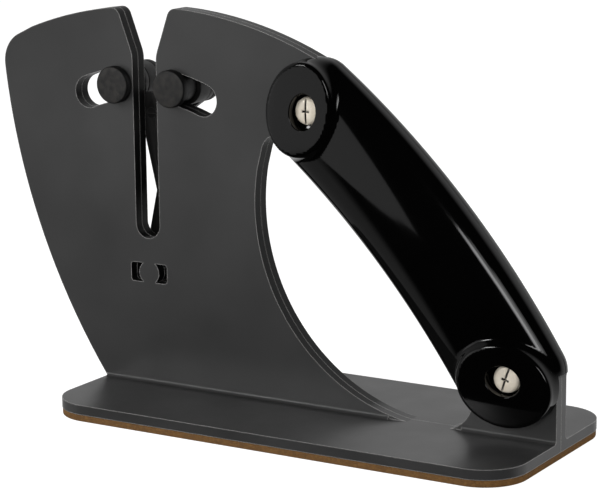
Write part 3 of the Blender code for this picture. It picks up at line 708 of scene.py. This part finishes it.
def body_sheet(side):
    """One bent sheet: half of the base, of the plate and of the upright."""
    near, far = side * SEAM_GAP, side * PLATE_FACE
    half_base = base_outline(near, side * BASE_WIDTH / 2.0, 0.0)
    sheet = prism(half_base, SHEET_UNDERSIDE, SHEET_TOP, "XY")
    join(sheet, prism(plate_outline(), near, far))
    join(sheet, prism(upright_outline(), near, far))
    plate_end = left_of(OPENING, SHEET_TOP + FOOT_FILLET)[0]
    join(sheet, foot_fillet(side, left_of(LEFT_EDGE, SHEET_TOP)[0], plate_end))
    join(sheet, foot_fillet(side, 61.6, UPRIGHT_RIGHT))
    low, high = -PLATE_FACE - 1.0, PLATE_FACE + 1.0
    for hand, _ in SIDES:
        cut(sheet, knob_slot(hand, low, high))
        cut(sheet, window(hand, low, high))
    for centre in (UPPER_SCREW, LOWER_SCREW):
        drill(sheet, SCREW_HOLE_RADIUS, low, high, centre, 32)
    return sheet


def spring_anchor(side):
    """Place of one spring's fixed post, in XZ."""
    return (CENTRE_X + side * ANCHOR_REACH, ANCHOR_Z)


def build_base():
    """Cork underside and both sheets, with the rear sheet's holes for the stud and posts."""
    edge = BASE_WIDTH / 2.0 - CORK_INSET
    outline = base_outline(-edge, edge, BASE_CORNER - CORK_INSET, CORK_INSET)
    cork = prism(outline, 0.0, CORK_TOP, "XY")
    finish_piece(smooth(ease_edges(cork, 0.25, 2)), "cork", "cork_base_pad", name="cork_pad_finish")
    front = ease_edges(body_sheet(-1), EDGE_EASE)
    finish_piece(front, "sheet", "front_body_sheet", name="front_sheet_finish")
    rear = body_sheet(1)
    low, high = -1.0, PLATE_FACE + 1.0
    drill(rear, 2.95, low, high, PIVOT, 48)
    for side, _ in SIDES:
        drill(rear, PIN_RADIUS + RUNNING_GAP, low, high, spring_anchor(side), 32)
    rear = ease_edges(rear, EDGE_EASE)
    finish_piece(rear, "sheet", "rear_body_sheet", name="rear_sheet_finish")


# Handle


def round_union(first, second, radius):
    """Union of two distance fields with a circular fillet."""
    near = np.maximum(radius - first, 0.0), np.maximum(radius - second, 0.0)
    return np.maximum(radius, np.minimum(first, second)) - np.hypot(*near)


def round_meet(first, second, radius):
    """Intersection of two distance fields with a rounded edge."""
    near = np.maximum(radius + first, 0.0), np.maximum(radius + second, 0.0)
    return np.minimum(-radius, np.maximum(first, second)) + np.hypot(*near)


def grip_field(x, out, z):
    """About how far a point is from the grip's surface; out is its distance from the seam."""
    upper = radians(angle_at(ARCH_CENTRE, UPPER_BOSS["centre"]))
    lower = radians(angle_at(ARCH_CENTRE, LOWER_BOSS["centre"]))
    reach_x, reach_z = x - ARCH_CENTRE[0], z - ARCH_CENTRE[1]
    angle = np.arctan2(reach_z, reach_x)
    middle = np.clip((angle - lower) / (upper - lower), 0.0, 1.0)
    width = GRIP_LOWER_HALF_WIDTH + (GRIP_UPPER_HALF_WIDTH - GRIP_LOWER_HALF_WIDTH) * middle
    across = (np.hypot(reach_x, reach_z) - ARCH_RADIUS) / width
    depth = GRIP_END_DEPTH + (GRIP_DEPTH - GRIP_END_DEPTH) * 4.0 * middle * (1.0 - middle)
    beyond = np.maximum(np.maximum(angle - upper, lower - angle), 0.0) * ARCH_RADIUS
    wide = np.hypot(across, beyond / GRIP_END_LENGTH)
    power = GRIP_SQUARENESS
    size = (wide**power + (np.abs(out) / depth) ** power) ** (1.0 / power)
    return (size - 1.0) * depth


def boss_field(boss, x, out, z):
    """Distance from a boss: an oval column with a slightly crowned face and a rounded rim."""
    centre = boss["centre"]
    along, across = rotate(x - centre[0], z - centre[1], -radians(boss["tilt"]))
    long_half, short_half = boss["half"]
    ratio = np.hypot(along / long_half, across / short_half) + 1e-9
    slope = np.hypot(along / long_half**2, across / short_half**2) + 1e-9
    side = ratio * (ratio - 1.0) / slope
    face = np.abs(out) - (BOSS_FACE - BOSS_CROWN * np.minimum(ratio, 1.5) ** 2)
    return round_meet(side, face, BOSS_RIM)


def bossed_field(x, out, z):
    """Distance from the front half's outside, before pockets and recesses."""
    body = grip_field(x, out, z)
    for boss in (UPPER_BOSS, LOWER_BOSS):
        body = round_union(body, boss_field(boss, x, out, z), BOSS_BLEND)
    return body


def slope_at(field, points):
    """Gradient of a field at points, by small steps."""
    small = 0.002
    parts = []
    for axis in range(3):
        step = np.zeros(3)
        step[axis] = small
        change = field(*(points + step).T) - field(*(points - step).T)
        parts.append(change / (2.0 * small))
    return np.stack(parts, axis=1)


def surface_net(field, low, high, step):
    """Quad mesh of a field's zero surface, every vertex moved onto the surface."""
    axes = [np.arange(a, b + step, step) for a, b in zip(low, high)]
    values = field(*np.meshgrid(*axes, indexing="ij"))
    inside = values < 0.0
    shape = tuple(size - 1 for size in inside.shape)
    count = np.zeros(shape, int)
    for i, j, k in np.ndindex(2, 2, 2):
        count += inside[i : i + shape[0], j : j + shape[1], k : k + shape[2]]
    active = (count > 0) & (count < 8)
    cells = np.argwhere(active)
    number = -np.ones(shape, int)
    number[active] = np.arange(len(cells))
    points = np.array(low) + (cells + 0.5) * step
    for _ in range(6):
        slope = slope_at(field, points)
        size = np.maximum((slope**2).sum(axis=1), 1e-6)
        move = -(field(*points.T) / size)[:, None] * slope
        length = np.maximum(np.linalg.norm(move, axis=1), 1e-9)
        points += move * np.minimum(1.0, 0.6 * step / length)[:, None]
    quads = []
    for axis in range(3):
        second, third = (axis + 1) % 3, (axis + 2) % 3
        start = np.take(inside, range(inside.shape[axis] - 1), axis=axis)
        finish = np.take(inside, range(1, inside.shape[axis]), axis=axis)
        edges = np.argwhere(start != finish)
        keep = (edges[:, second] > 0) & (edges[:, third] > 0)
        keep &= (edges[:, second] < shape[second]) & (edges[:, third] < shape[third])
        edges = edges[keep]
        ring = []
        for down, back in ((1, 1), (0, 1), (0, 0), (1, 0)):
            cell = edges.copy()
            cell[:, second] -= down
            cell[:, third] -= back
            ring.append(number[tuple(cell.T)])
        quad = np.stack(ring, axis=1)
        outward = start[tuple(edges.T)]
        quads += quad[outward].tolist() + quad[~outward][:, ::-1].tolist()
    return points, quads


def close_seam(work, field):
    """Trim the net just above the seam, then add an eased lip and a flat mating face."""
    trim = 0.55
    geometry = work.verts[:] + work.edges[:] + work.faces[:]
    bmesh.ops.bisect_plane(
        work,
        geom=geometry,
        dist=1e-9,
        plane_co=(0, -trim * MM, 0),
        plane_no=(0, 1, 0),
        clear_outer=True,
    )
    rim = [edge for edge in work.edges if edge.is_boundary]
    for drop, inset in ((0.25, 0.07), (SEAM_GAP, 0.30)):
        made = bmesh.ops.extrude_edge_only(work, edges=rim)["geom"]
        corners = [item for item in made if isinstance(item, bmesh.types.BMVert)]
        points = np.array([vert.co[:] for vert in corners]) / MM
        points[:, 1] = trim
        slope = slope_at(field, points)
        slope[:, 1] = 0.0
        slope /= np.linalg.norm(slope, axis=1)[:, None]
        points -= slope * inset
        points[:, 1] = -drop
        for vert, point in zip(corners, points):
            vert.co = Vector(point) * MM
        rim = [item for item in made if isinstance(item, bmesh.types.BMEdge)]
        trim = drop
    bmesh.ops.contextual_create(work, geom=rim)
    bmesh.ops.recalc_face_normals(work, faces=work.faces)


def rebate(which):
    """Cutter for the pocket that takes the plate's lobe or the upright's top, open at the right."""
    if which == "upper":
        outline = upper_tab(REBATE_GAP) + [(-50.0, 98.0)]
        outline += [on_top_edge(-50.0 + 4.0 * step, REBATE_GAP) for step in range(12)]
    else:
        outline = [(UPRIGHT_LEFT - 4.0, -5.0), (UPRIGHT_LEFT - 2.4, 11.0)]
        outline += [(UPRIGHT_LEFT - REBATE_GAP, 18.6)] + lower_tab(REBATE_GAP)[:-1]
        outline += [(UPRIGHT_RIGHT - 0.75, REBATE_EXIT), (110.0, REBATE_EXIT), (110.0, -5.0)]
    return prism(round_corners(outline), 2.0, -(PLATE_FACE + REBATE_GAP))


def oval_stack(centre, half, tilt_deg, levels):
    """Closed solid of ellipses at (depth, grow) levels along Y."""
    tilt = radians(tilt_deg)
    rings = []
    for depth, grow in levels:
        ring = []
        for step in range(OVAL_STEPS):
            angle = tau * step / OVAL_STEPS
            x, z = rotate((half[0] + grow) * cos(angle), (half[1] + grow) * sin(angle), tilt)
            ring.append((centre[0] + x, depth, centre[1] + z))
        rings.append(ring)
    return loft(rings)


def handle_mesh(outside, rim):
    """One handle half facing -Y, with its pockets, recesses and screw holes."""
    low, high = (-26.0, -13.0, 6.0), (104.0, 2.0, 146.0)

    def field(x, y, z):
        return outside(x, -y, z)

    points, quads = surface_net(field, low, high, HANDLE_GRID)
    half = make_object([tuple(point) for point in points], quads)
    work = bmesh.new()
    work.from_mesh(half.data)
    close_seam(work, outside)
    work.to_mesh(half.data)
    work.free()
    for word, centre, boss in (("upper", UPPER_SCREW, UPPER_BOSS), ("lower", LOWER_SCREW, LOWER_BOSS)):
        cut(half, rebate(word))
        levels = [(-RECESS_FLOOR, -0.3), (-RECESS_FLOOR - 0.1, -0.1), (-RECESS_FLOOR - 0.3, 0.0)]
        for step in range(6):
            turn = pi / 2.0 * step / 5
            sunk, grow = RIM_EASE * (1.0 - sin(turn)), RIM_EASE * (1.0 - cos(turn))
            levels.append((sunk - rim, grow))
        levels.append((-13.0, RIM_EASE))
        cut(half, oval_stack(centre, RECESS_HALF, boss["tilt"], levels))
        drill(half, SCREW_HOLE_RADIUS, -RECESS_FLOOR - 1.0, 1.0, centre, 48)
    return half


def read(items, name, width=1, kind=float):
    """An attribute of many mesh items as an array of rows."""
    values = np.zeros(len(items) * width, kind)
    items.foreach_get(name, values)
    return values.reshape(-1, width) if width > 1 else values


def field_normals(thing, side, field):
    """Take shading from the smooth field wherever a face lies on it, else from nearby faces."""
    mesh = thing.data
    smooth(thing, 32.0)
    corner_vertex = read(mesh.loops, "vertex_index", kind=int)
    totals = read(mesh.polygons, "loop_total", kind=int)
    per_corner = np.repeat(read(mesh.polygons, "normal", 3), totals, axis=0)
    plain = np.array([tuple(item.vector) for item in mesh.corner_normals])
    mirror = np.array((1.0, float(side), 1.0))
    spots = read(mesh.vertices, "co", 3) / MM * mirror
    slope = slope_at(field, spots) * mirror
    slope /= np.maximum(np.linalg.norm(slope, axis=1), 1e-9)[:, None]
    wanted = slope[corner_vertex]
    good = (wanted * per_corner).sum(axis=1) > cos(radians(24.0))
    good &= np.abs(field(*spots.T))[corner_vertex] < 0.05
    mesh.normals_split_custom_set(np.where(good[:, None], wanted, plain).tolist())


def handle_screw(centre, turn_deg):
    """Machine screw with a low head and a combined slot and cross."""
    seat, top, end = -6.5, -8.2, 7.1
    profile = [(0.0, top - 0.25), (2.6, top - 0.18), (4.4, top + 0.15, 1.5)]
    profile += [(SCREW_HEAD_RADIUS, top + 0.8, 0.5), (SCREW_HEAD_RADIUS, seat, 0.1)]
    profile += [(SCREW_SHANK_RADIUS, seat), (SCREW_SHANK_RADIUS, end - 0.5)]
    profile += [(SCREW_SHANK_RADIUS - 0.5, end), (0.0, end)]
    screw = turned(profile, centre)
    cut(screw, slot_bar(centre, 6.5, 0.42, top - 2.0, top + 0.8, turn_deg + 90.0))
    cut(screw, slot_bar(centre, 1.5, 0.45, top - 2.0, top + 1.2, turn_deg))
    return smooth(ease_edges(screw, 0.09, 2, 50.0), 40.0)


def handle_nut(centre):
    """Round cap nut in the rear recess, slotted, with its blind thread towards the screw."""
    bore = SCREW_SHANK_RADIUS + 0.1
    profile = [(bore, 5.7), (SCREW_HEAD_RADIUS, 5.7, 0.15), (SCREW_HEAD_RADIUS, 7.5, 0.4)]
    profile += [(4.4, 8.1, 1.0), (0.0, 8.3), (0.0, 7.3), (bore, 7.3)]
    nut = turned(profile, centre)
    cut(nut, slot_bar(centre, 6.5, 0.6, 7.75, 11.0))
    return smooth(ease_edges(nut, 0.09, 2, 50.0), 40.0)


def build_handle():
    """Both handle halves and what holds them."""
    front = handle_mesh(bossed_field, BOSS_FACE - 0.05)
    rear = handle_mesh(grip_field, GRIP_END_DEPTH - 0.1)
    rear.data.transform(Matrix.Scale(-1.0, 4, (0.0, 1.0, 0.0)))
    rear.data.flip_normals()
    field_normals(front, -1, bossed_field)
    field_normals(rear, 1, grip_field)
    finish_piece(front, "gloss", "handle_front_half", name="handle_front_finish")
    finish_piece(rear, "gloss", "handle_rear_half", name="handle_rear_finish")
    for word, centre, turn_deg in (("upper", UPPER_SCREW, 0.0), ("lower", LOWER_SCREW, -18.0)):
        name = "handle_" + word
        washer = turned(ring_round(SCREW_HOLE_RADIUS, 5.3, -6.4, -5.7), centre)
        finish_piece(handle_screw(centre, turn_deg), "nickel", name + "_screw")
        finish_piece(smooth(washer), "nickel", name + "_washer")
        finish_piece(handle_nut(centre), "nickel", name + "_nut")


# Arms


def arm_point(across, along, side):
    """Turn an arm's own (across, along) into XZ; side is -1 for the left arm."""
    x, z = rotate(across, along, radians(ARM_TILT_DEG))
    return (CENTRE_X - side * x, PIVOT_Z + z)


def eye_centre():
    """The knob's place in the arm's own frame."""
    return rotate(-KNOB_HALF_SPACING, KNOB_Z - PIVOT_Z, -radians(ARM_TILT_DEG))


def arm_outline(side):
    """Bar, eye, hub and tail of an arm in one outline."""
    eye = eye_centre()
    drop = degrees(asin((BAR_END - eye[1]) / EYE_RADIUS))
    points = [(BAR_OUTER, BAR_END, 0.6), (BAR_OUTER, -4.0, 6.0)]
    points += [(TAIL_ACROSS + 4.5, TAIL_ALONG - 4.5, 4.4), (TAIL_ACROSS - 4.5, TAIL_ALONG - 4.5, 4.4)]
    points += [(-9.8, 9.8, 9.0), (BAR_INNER, 9.8, 3.0), (BAR_INNER, 63.0, 2.0)]
    points += arc(eye, EYE_RADIUS, 240.0, drop, 36)
    return [arm_point(x, z, side) for x, z in round_corners(points)]


def knob_centre(side):
    """Place of one knob's axis at rest, in XZ."""
    return (CENTRE_X + side * KNOB_HALF_SPACING, KNOB_Z)


def tail_centre(side):
    """Place of one tail pin at rest, in XZ."""
    return arm_point(TAIL_ACROSS, TAIL_ALONG, side)


def strip_outline(side):
    """Abrasive strip along the V side of an arm's bar."""
    inner, outer = BAR_OUTER - 3.8, BAR_OUTER + 0.4
    points = [(inner, 34.0, 0.8), (outer, 34.0, 0.8), (outer, 69.6, 0.8), (inner, 69.6, 0.8)]
    return [arm_point(x, z, side) for x, z in round_corners(points, 6)]


def countersunk(centre, front, inward, head, shank, depths):
    """Countersunk screw or its cutter; depths run from the arm's face into the strip."""
    top, seat, neck, end = (front + inward * depth for depth in depths)
    profile = [(0.0, top), (head, top), (head, seat), (shank, neck), (shank, end), (0.0, end)]
    return turned(profile, centre, 48)


def strip_screw(centre, front, inward):
    """Slotted screw through the arm into the strip."""
    screw = countersunk(centre, front, inward, 2.1, 1.2, (0.1, 0.3, 1.2, 4.4))
    low, high = sorted((front - inward * 0.5, front + inward * 0.55))
    cut(screw, slot_bar(centre, 3.0, 0.25, low, high))
    return smooth(screw, 30.0)


def strip_screw_hole(centre, front, inward):
    """Cutter for a strip screw, with 0.1 of clearance all round."""
    return countersunk(centre, front, inward, 2.2, 1.3, (-0.5, 0.35, 1.3, 4.6))


def pin_head(side):
    """End of a spring pin's profile: its waist for the loop, and its head."""
    loop = SPRING_Y[side] + 0.8
    return [(PIN_RADIUS, loop), (2.5, loop, 0.2), (2.5, loop + 0.7, 0.3), (0.0, loop + 0.7)]


def build_arm(word, side):
    """One arm with its bush, strip, strip screws and tail pin."""
    front = ARM_FRONT[side]
    back = front + ARM_THICKNESS
    body = word + "_arm"
    arm = prism(arm_outline(side), front, back)
    strip_low = back + 0.1 if side < 0 else front - 0.1 - STRIP_THICKNESS
    strip = prism(strip_outline(side), strip_low, strip_low + STRIP_THICKNESS)
    face, inward = (front, 1.0) if side < 0 else (back, -1.0)
    low, high = front - 1.0, back + 1.0
    drill(arm, BUSH_OUTER + RUNNING_GAP, low, high, PIVOT)
    drill(arm, KNOB_BORE, low, high, knob_centre(side), 40)
    drill(arm, PIN_RADIUS + RUNNING_GAP, low, high, tail_centre(side), 40)
    for place, along in (("upper", 62.0), ("lower", 41.0)):
        centre = arm_point(BAR_OUTER - 2.35, along, side)
        cut(arm, strip_screw_hole(centre, face, inward))
        cut(strip, strip_screw_hole(centre, face, inward))
        name = word + "_strip_" + place + "_screw"
        finish_piece(strip_screw(centre, face, inward), "coat", name, body)
    finish_piece(smooth(ease_edges(arm, 0.35)), "coat", body, body)
    finish_piece(smooth(ease_edges(strip, 0.25, 2)), "grit", word + "_sharpening_strip", body)
    bush = ring_round(JOURNAL_RADIUS + RUNNING_GAP, BUSH_OUTER, front - 0.1, back + 0.1)
    finish_piece(smooth(turned(bush, PIVOT)), "bronze", body + "_bush", body)
    profile = [(0.0, front + 0.2), (PIN_RADIUS, front + 0.2, 0.2)] + pin_head(side)
    finish_piece(smooth(turned(profile, tail_centre(side), 48)), "zinc", word + "_tail_pin", body)


def build_pivot():
    """Shouldered stud pressed into the rear sheet, with spacer, washer and nut."""
    seat = PLATE_FACE + 0.1
    end = ARM_FRONT[1] + ARM_THICKNESS + 0.4
    stud = [(0.0, 0.3), (2.9, 0.3, 0.2), (2.9, seat), (JOURNAL_RADIUS, seat, 0.2)]
    stud += [(JOURNAL_RADIUS, end, 0.2), (2.5, end), (2.5, end + 4.3), (2.0, end + 4.8), (0.0, end + 4.8)]
    low, high = ARM_FRONT[-1] + ARM_THICKNESS + 0.25, ARM_FRONT[1] - 0.25
    spacer = ring_round(JOURNAL_RADIUS + 0.1, 6.5, low, high)
    washer = ring_round(2.7, 7.0, end + 0.1, end + 0.9)
    for word, profile in (("stud", stud), ("spacer", spacer), ("washer", washer)):
        finish_piece(smooth(turned(profile, PIVOT)), "zinc", "pivot_" + word)
    nut = prism(arc(PIVOT, 4.6, 0.0, 300.0, 5), end + 1.0, end + 4.0)
    dome = [(0.0, end + 0.5), (4.75, end + 0.5), (4.75, end + 3.5), (4.0, end + 4.5), (0.0, end + 4.5)]
    combine(nut, turned(dome, PIVOT), "INTERSECT")
    drill(nut, 2.6, end, end + 5.0, PIVOT, 48)
    finish_piece(smooth(nut, 30.0), "zinc", "pivot_nut")


def build_knob(word, side):
    """Front knob, sleeve, barrel, rear knob and the screw that holds them on the arm's eye."""
    centre = knob_centre(side)
    body = word + "_arm"
    front = ARM_FRONT[side]
    seat = -PLATE_FACE - 0.25
    cap = [(0.0, KNOB_FRONT), (KNOB_RADIUS * 0.6, KNOB_FRONT + 0.06), (KNOB_RADIUS, KNOB_FRONT + 0.2, 0.75)]
    cap += [(KNOB_RADIUS, seat, 0.3), (KNOB_BORE, seat), (KNOB_BORE, seat - 2.0), (0.0, seat - 2.0)]
    if side < 0:
        post_end, low, high = front - 0.1, front + ARM_THICKNESS + 0.1, KNOB_BACK - 3.4
        rear_low = KNOB_BACK - 3.3
    else:
        post_end, low, high = PLATE_FACE + 0.3, PLATE_FACE + 0.4, front - 0.1
        rear_low = KNOB_BACK - 3.2
    rear = [(KNOB_BORE, rear_low), (BARREL_RADIUS, rear_low, 0.3), (BARREL_RADIUS, KNOB_BACK, 0.8)]
    rear += [(3.9, KNOB_BACK), (3.9, KNOB_BACK - 0.3), (KNOB_BORE, KNOB_BACK - 2.1)]
    parts = (
        ("_front_knob", cap, "knob"),
        ("_knob_post", ring_round(KNOB_BORE, POST_RADIUS, seat + 0.1, post_end), "barrel"),
        ("_knob_barrel", ring_round(KNOB_BORE, BARREL_RADIUS, low, high, 0.3), "barrel"),
        ("_rear_knob", rear, "knob"),
    )
    for label, profile, look in parts:
        finish_piece(smooth(turned(profile, centre)), look, word + label, body)
    head = [(0.0, seat - 1.9), (KNOB_SCREW_RADIUS, seat - 1.9), (KNOB_SCREW_RADIUS, KNOB_BACK - 2.0)]
    head += [(3.7, KNOB_BACK - 0.3), (3.7, KNOB_BACK - 0.1), (0.0, KNOB_BACK - 0.1)]
    screw = turned(head, centre, 64)
    cut(screw, prism(arc(centre, 1.5, 0.0, 300.0, 5), KNOB_BACK - 1.6, KNOB_BACK + 1.0))
    finish_piece(smooth(screw, 30.0), "coat", word + "_knob_screw", body)


# Springs


def spring_path(side):
    """Centre line of a spring: a loop on the anchor post, the coil, a loop on the tail pin."""
    depth = SPRING_Y[side]
    anchor, tail = spring_anchor(side), tail_centre(side)
    way = Vector((tail[0] - anchor[0], tail[1] - anchor[1]))
    length = way.length
    way.normalize()
    up = Vector((-way.y, way.x))
    loop = 2.5
    coil = length - 2.0 * loop
    points = [(x, z, 0.0) for x, z in arc((0.0, 0.0), loop, 30.0, 360.0, 20)]
    steps = SPRING_TURNS * STEPS_PER_TURN
    for step in range(1, steps):
        turn = tau * step / STEPS_PER_TURN
        ramp = min(turn, tau * SPRING_TURNS - turn, pi)
        radius = SPRING_RADIUS * sin(ramp / 2.0)
        points.append((loop + coil * step / steps, radius * cos(turn), radius * sin(turn)))
    points += [(x, -z, 0.0) for x, z in arc((length, 0.0), loop, 180.0, -150.0, 20)]
    path = []
    for along, rise, out in points:
        spot = Vector(anchor) + way * along + up * rise
        path.append(Vector((spot.x, depth + out, spot.y)))
    return path


def tube(path, radius, sides):
    """Sweep a round wire along a path, turning its section as little as it can."""
    rings = []
    normal = None
    for index, spot in enumerate(path):
        before = path[max(index - 1, 0)]
        after = path[min(index + 1, len(path) - 1)]
        tangent = (after - before).normalized()
        if normal is None:
            normal = tangent.orthogonal().normalized()
        normal = (normal - tangent * normal.dot(tangent)).normalized()
        other = tangent.cross(normal)
        ring = []
        for step in range(sides):
            angle = tau * step / sides
            ring.append(spot + (normal * cos(angle) + other * sin(angle)) * radius)
        rings.append(ring)
    return loft(rings)


def build_spring(word, side):
    """Return spring and the post that anchors it on the rear sheet."""
    loop = SPRING_Y[side]
    shoulder = PLATE_FACE + 0.1
    profile = [(0.0, 0.4), (PIN_RADIUS, 0.4, 0.2), (PIN_RADIUS, shoulder), (2.6, shoulder, 0.2)]
    profile += [(2.6, loop - 1.2, 0.3), (PIN_RADIUS, loop - 1.2)] + pin_head(side)
    anchor, tail = spring_anchor(side), tail_centre(side)
    finish_piece(smooth(turned(profile, anchor, 48)), "zinc", word + "_spring_post")
    spring = smooth(tube(spring_path(side), WIRE_RADIUS, 10), 60.0)
    finish_piece(spring, "wire", word + "_return_spring", None, word + "_spring_finish")
    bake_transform(spring)


# Stage

MIDDLE = (0.0, 0.0, 0.07)
STREAK_ROLL = 39.0
# across, forward, width and power of each card that makes the streak along the grip
STREAK_CARDS = ((0.58, -1.38, 0.20, 1.5), (0.66, -1.34, 0.45, 1.2), (0.84, -1.22, 0.40, 0.7))
STREAK_TARGET = (0.06, 0.0, 0.06)
# cards of growing width, one behind another, shade the upper boss from left to right
BOSS_CARD_STEPS = 11
BOSS_CARD_PLACE = (-0.225, -0.30, 0.08)
BOSS_CARD_TARGET = (-0.004, -0.011, 0.122)
CAMERA_PLACE = (0.42523, -0.71617, 0.24356)


def floor():
    """Plain pale floor, brighter to the camera than the light alone would make it."""
    size = 12.0
    mesh = bpy.data.meshes.new("floor")
    corners = [(-size, -size, 0), (size, -size, 0), (size, size, 0), (-size, size, 0)]
    mesh.from_pydata(corners, [], [(0, 1, 2, 3)])
    thing = add_object("floor", mesh)
    thing.location.z = -0.0002
    look = Look("pale_floor")
    look.set(Base_Color=grey(0.3), Roughness=0.9, Specular_IOR_Level=0.1, Emission_Color=grey(1.0))
    seen = look.node("ShaderNodeLightPath").outputs["Is Camera Ray"]
    look.set(Emission_Strength=look.ramp(seen, 0.0, 0.95))
    mesh.materials.append(look.material)
    thing.visible_glossy = False


def light(name, spot, target, size, power, card=False, roll_deg=0.0):
    """Rectangular light, aimed at a point; a card shows only in reflections, a lamp never does."""
    lamp = bpy.data.lights.new(name, "AREA")
    lamp.shape = "RECTANGLE"
    lamp.size, lamp.size_y = size
    lamp.energy = power
    thing = add_object(name, lamp)
    thing.location = spot
    thing.rotation_mode = "QUATERNION"
    aim = (Vector(target) - Vector(spot)).to_track_quat("-Z", "Y")
    thing.rotation_quaternion = aim @ Quaternion((0.0, 0.0, 1.0), radians(roll_deg))
    thing.visible_glossy = card
    thing.visible_diffuse = not card


def world():
    """White to the camera; a studio that darkens towards the front, most of all in reflections."""
    made = bpy.data.worlds.new("studio")
    bpy.context.scene.world = made
    made.use_nodes = True
    sky = Nodes(made.node_tree)
    path = sky.node("ShaderNodeLightPath").outputs
    place = sky.node("ShaderNodeTexCoord").outputs["Generated"]
    toward = sky.node("ShaderNodeSeparateXYZ", {0: place}).outputs

    def fade(axis, start, end, first, last):
        return sky.ramp(toward[axis], first, last, start, end, interpolation_type="SMOOTHSTEP")

    def choose(test, otherwise, chosen):
        return sky.node("ShaderNodeMix", {0: path[test], 2: otherwise, 3: chosen}).outputs[0]

    behind, beside = fade("Y", 0.0, 0.6, 0.004, 0.60), fade("X", -0.60, -0.70, 0.004, 0.28)
    mirrored = sky.calc("MAXIMUM", behind, beside)
    lit = choose("Is Glossy Ray", fade("Y", -0.5, 0.7, 0.13, 0.45), mirrored)
    back = sky.tree.nodes["Background"]
    sky.feed(back.inputs["Strength"], choose("Is Camera Ray", lit, 1.0))
    sky.feed(back.inputs["Color"], grey(1.0))


def camera():
    """The view: position, direction, roll and focal length."""
    yaw, pitch, roll = radians(31.28), radians(-11.78), radians(-0.62)
    ahead = Vector((-sin(yaw) * cos(pitch), cos(yaw) * cos(pitch), sin(pitch)))
    right = Vector((cos(yaw), sin(yaw), 0.0))
    up = right.cross(ahead)
    turned_right = right * cos(roll) + up * sin(roll)
    turned_up = up * cos(roll) - right * sin(roll)
    lens = bpy.data.cameras.new("camera")
    lens.lens = 134.46
    lens.sensor_width = 36.0
    lens.clip_start, lens.clip_end = 0.05, 50.0
    thing = add_object("camera", lens)
    turn = Matrix((turned_right, turned_up, -ahead)).transposed()
    thing.matrix_world = Matrix.Translation(CAMERA_PLACE) @ turn.to_4x4()
    bpy.context.scene.camera = thing


def studio():
    """Camera, floor, world, soft lamps and the cards that the gloss and the sheet fold reflect."""
    camera()
    floor()
    world()
    light("key", (-1.0, -0.9, 0.8), MIDDLE, (0.9, 0.9), 14.5)
    light("fill", (0.35, -1.7, 0.45), MIDDLE, (0.8, 0.8), 13.0)
    light("rim", (1.1, 0.05, 0.35), MIDDLE, (0.16, 0.5), 4.0)
    light("fold_card", (-0.88, -1.44, 0.58), (0.0, -0.01, 0.0), (0.26, 0.26), 3.0, card=True)
    for x, y, width, power in STREAK_CARDS:
        light("streak", (x, y, 0.48), STREAK_TARGET, (width, 0.5), power, card=True, roll_deg=STREAK_ROLL)
    for step in range(BOSS_CARD_STEPS):
        width = 0.03 + 0.02 * step
        light("boss_card", BOSS_CARD_PLACE, BOSS_CARD_TARGET, (width, 0.14), width * 0.25, card=True)
    bpy.context.scene.view_settings.view_transform = "Standard"


build_base()
build_handle()
build_pivot()
for hand, label in SIDES:
    build_arm(label, hand)
    build_knob(label, hand)
    build_spring(label, hand)
studio()
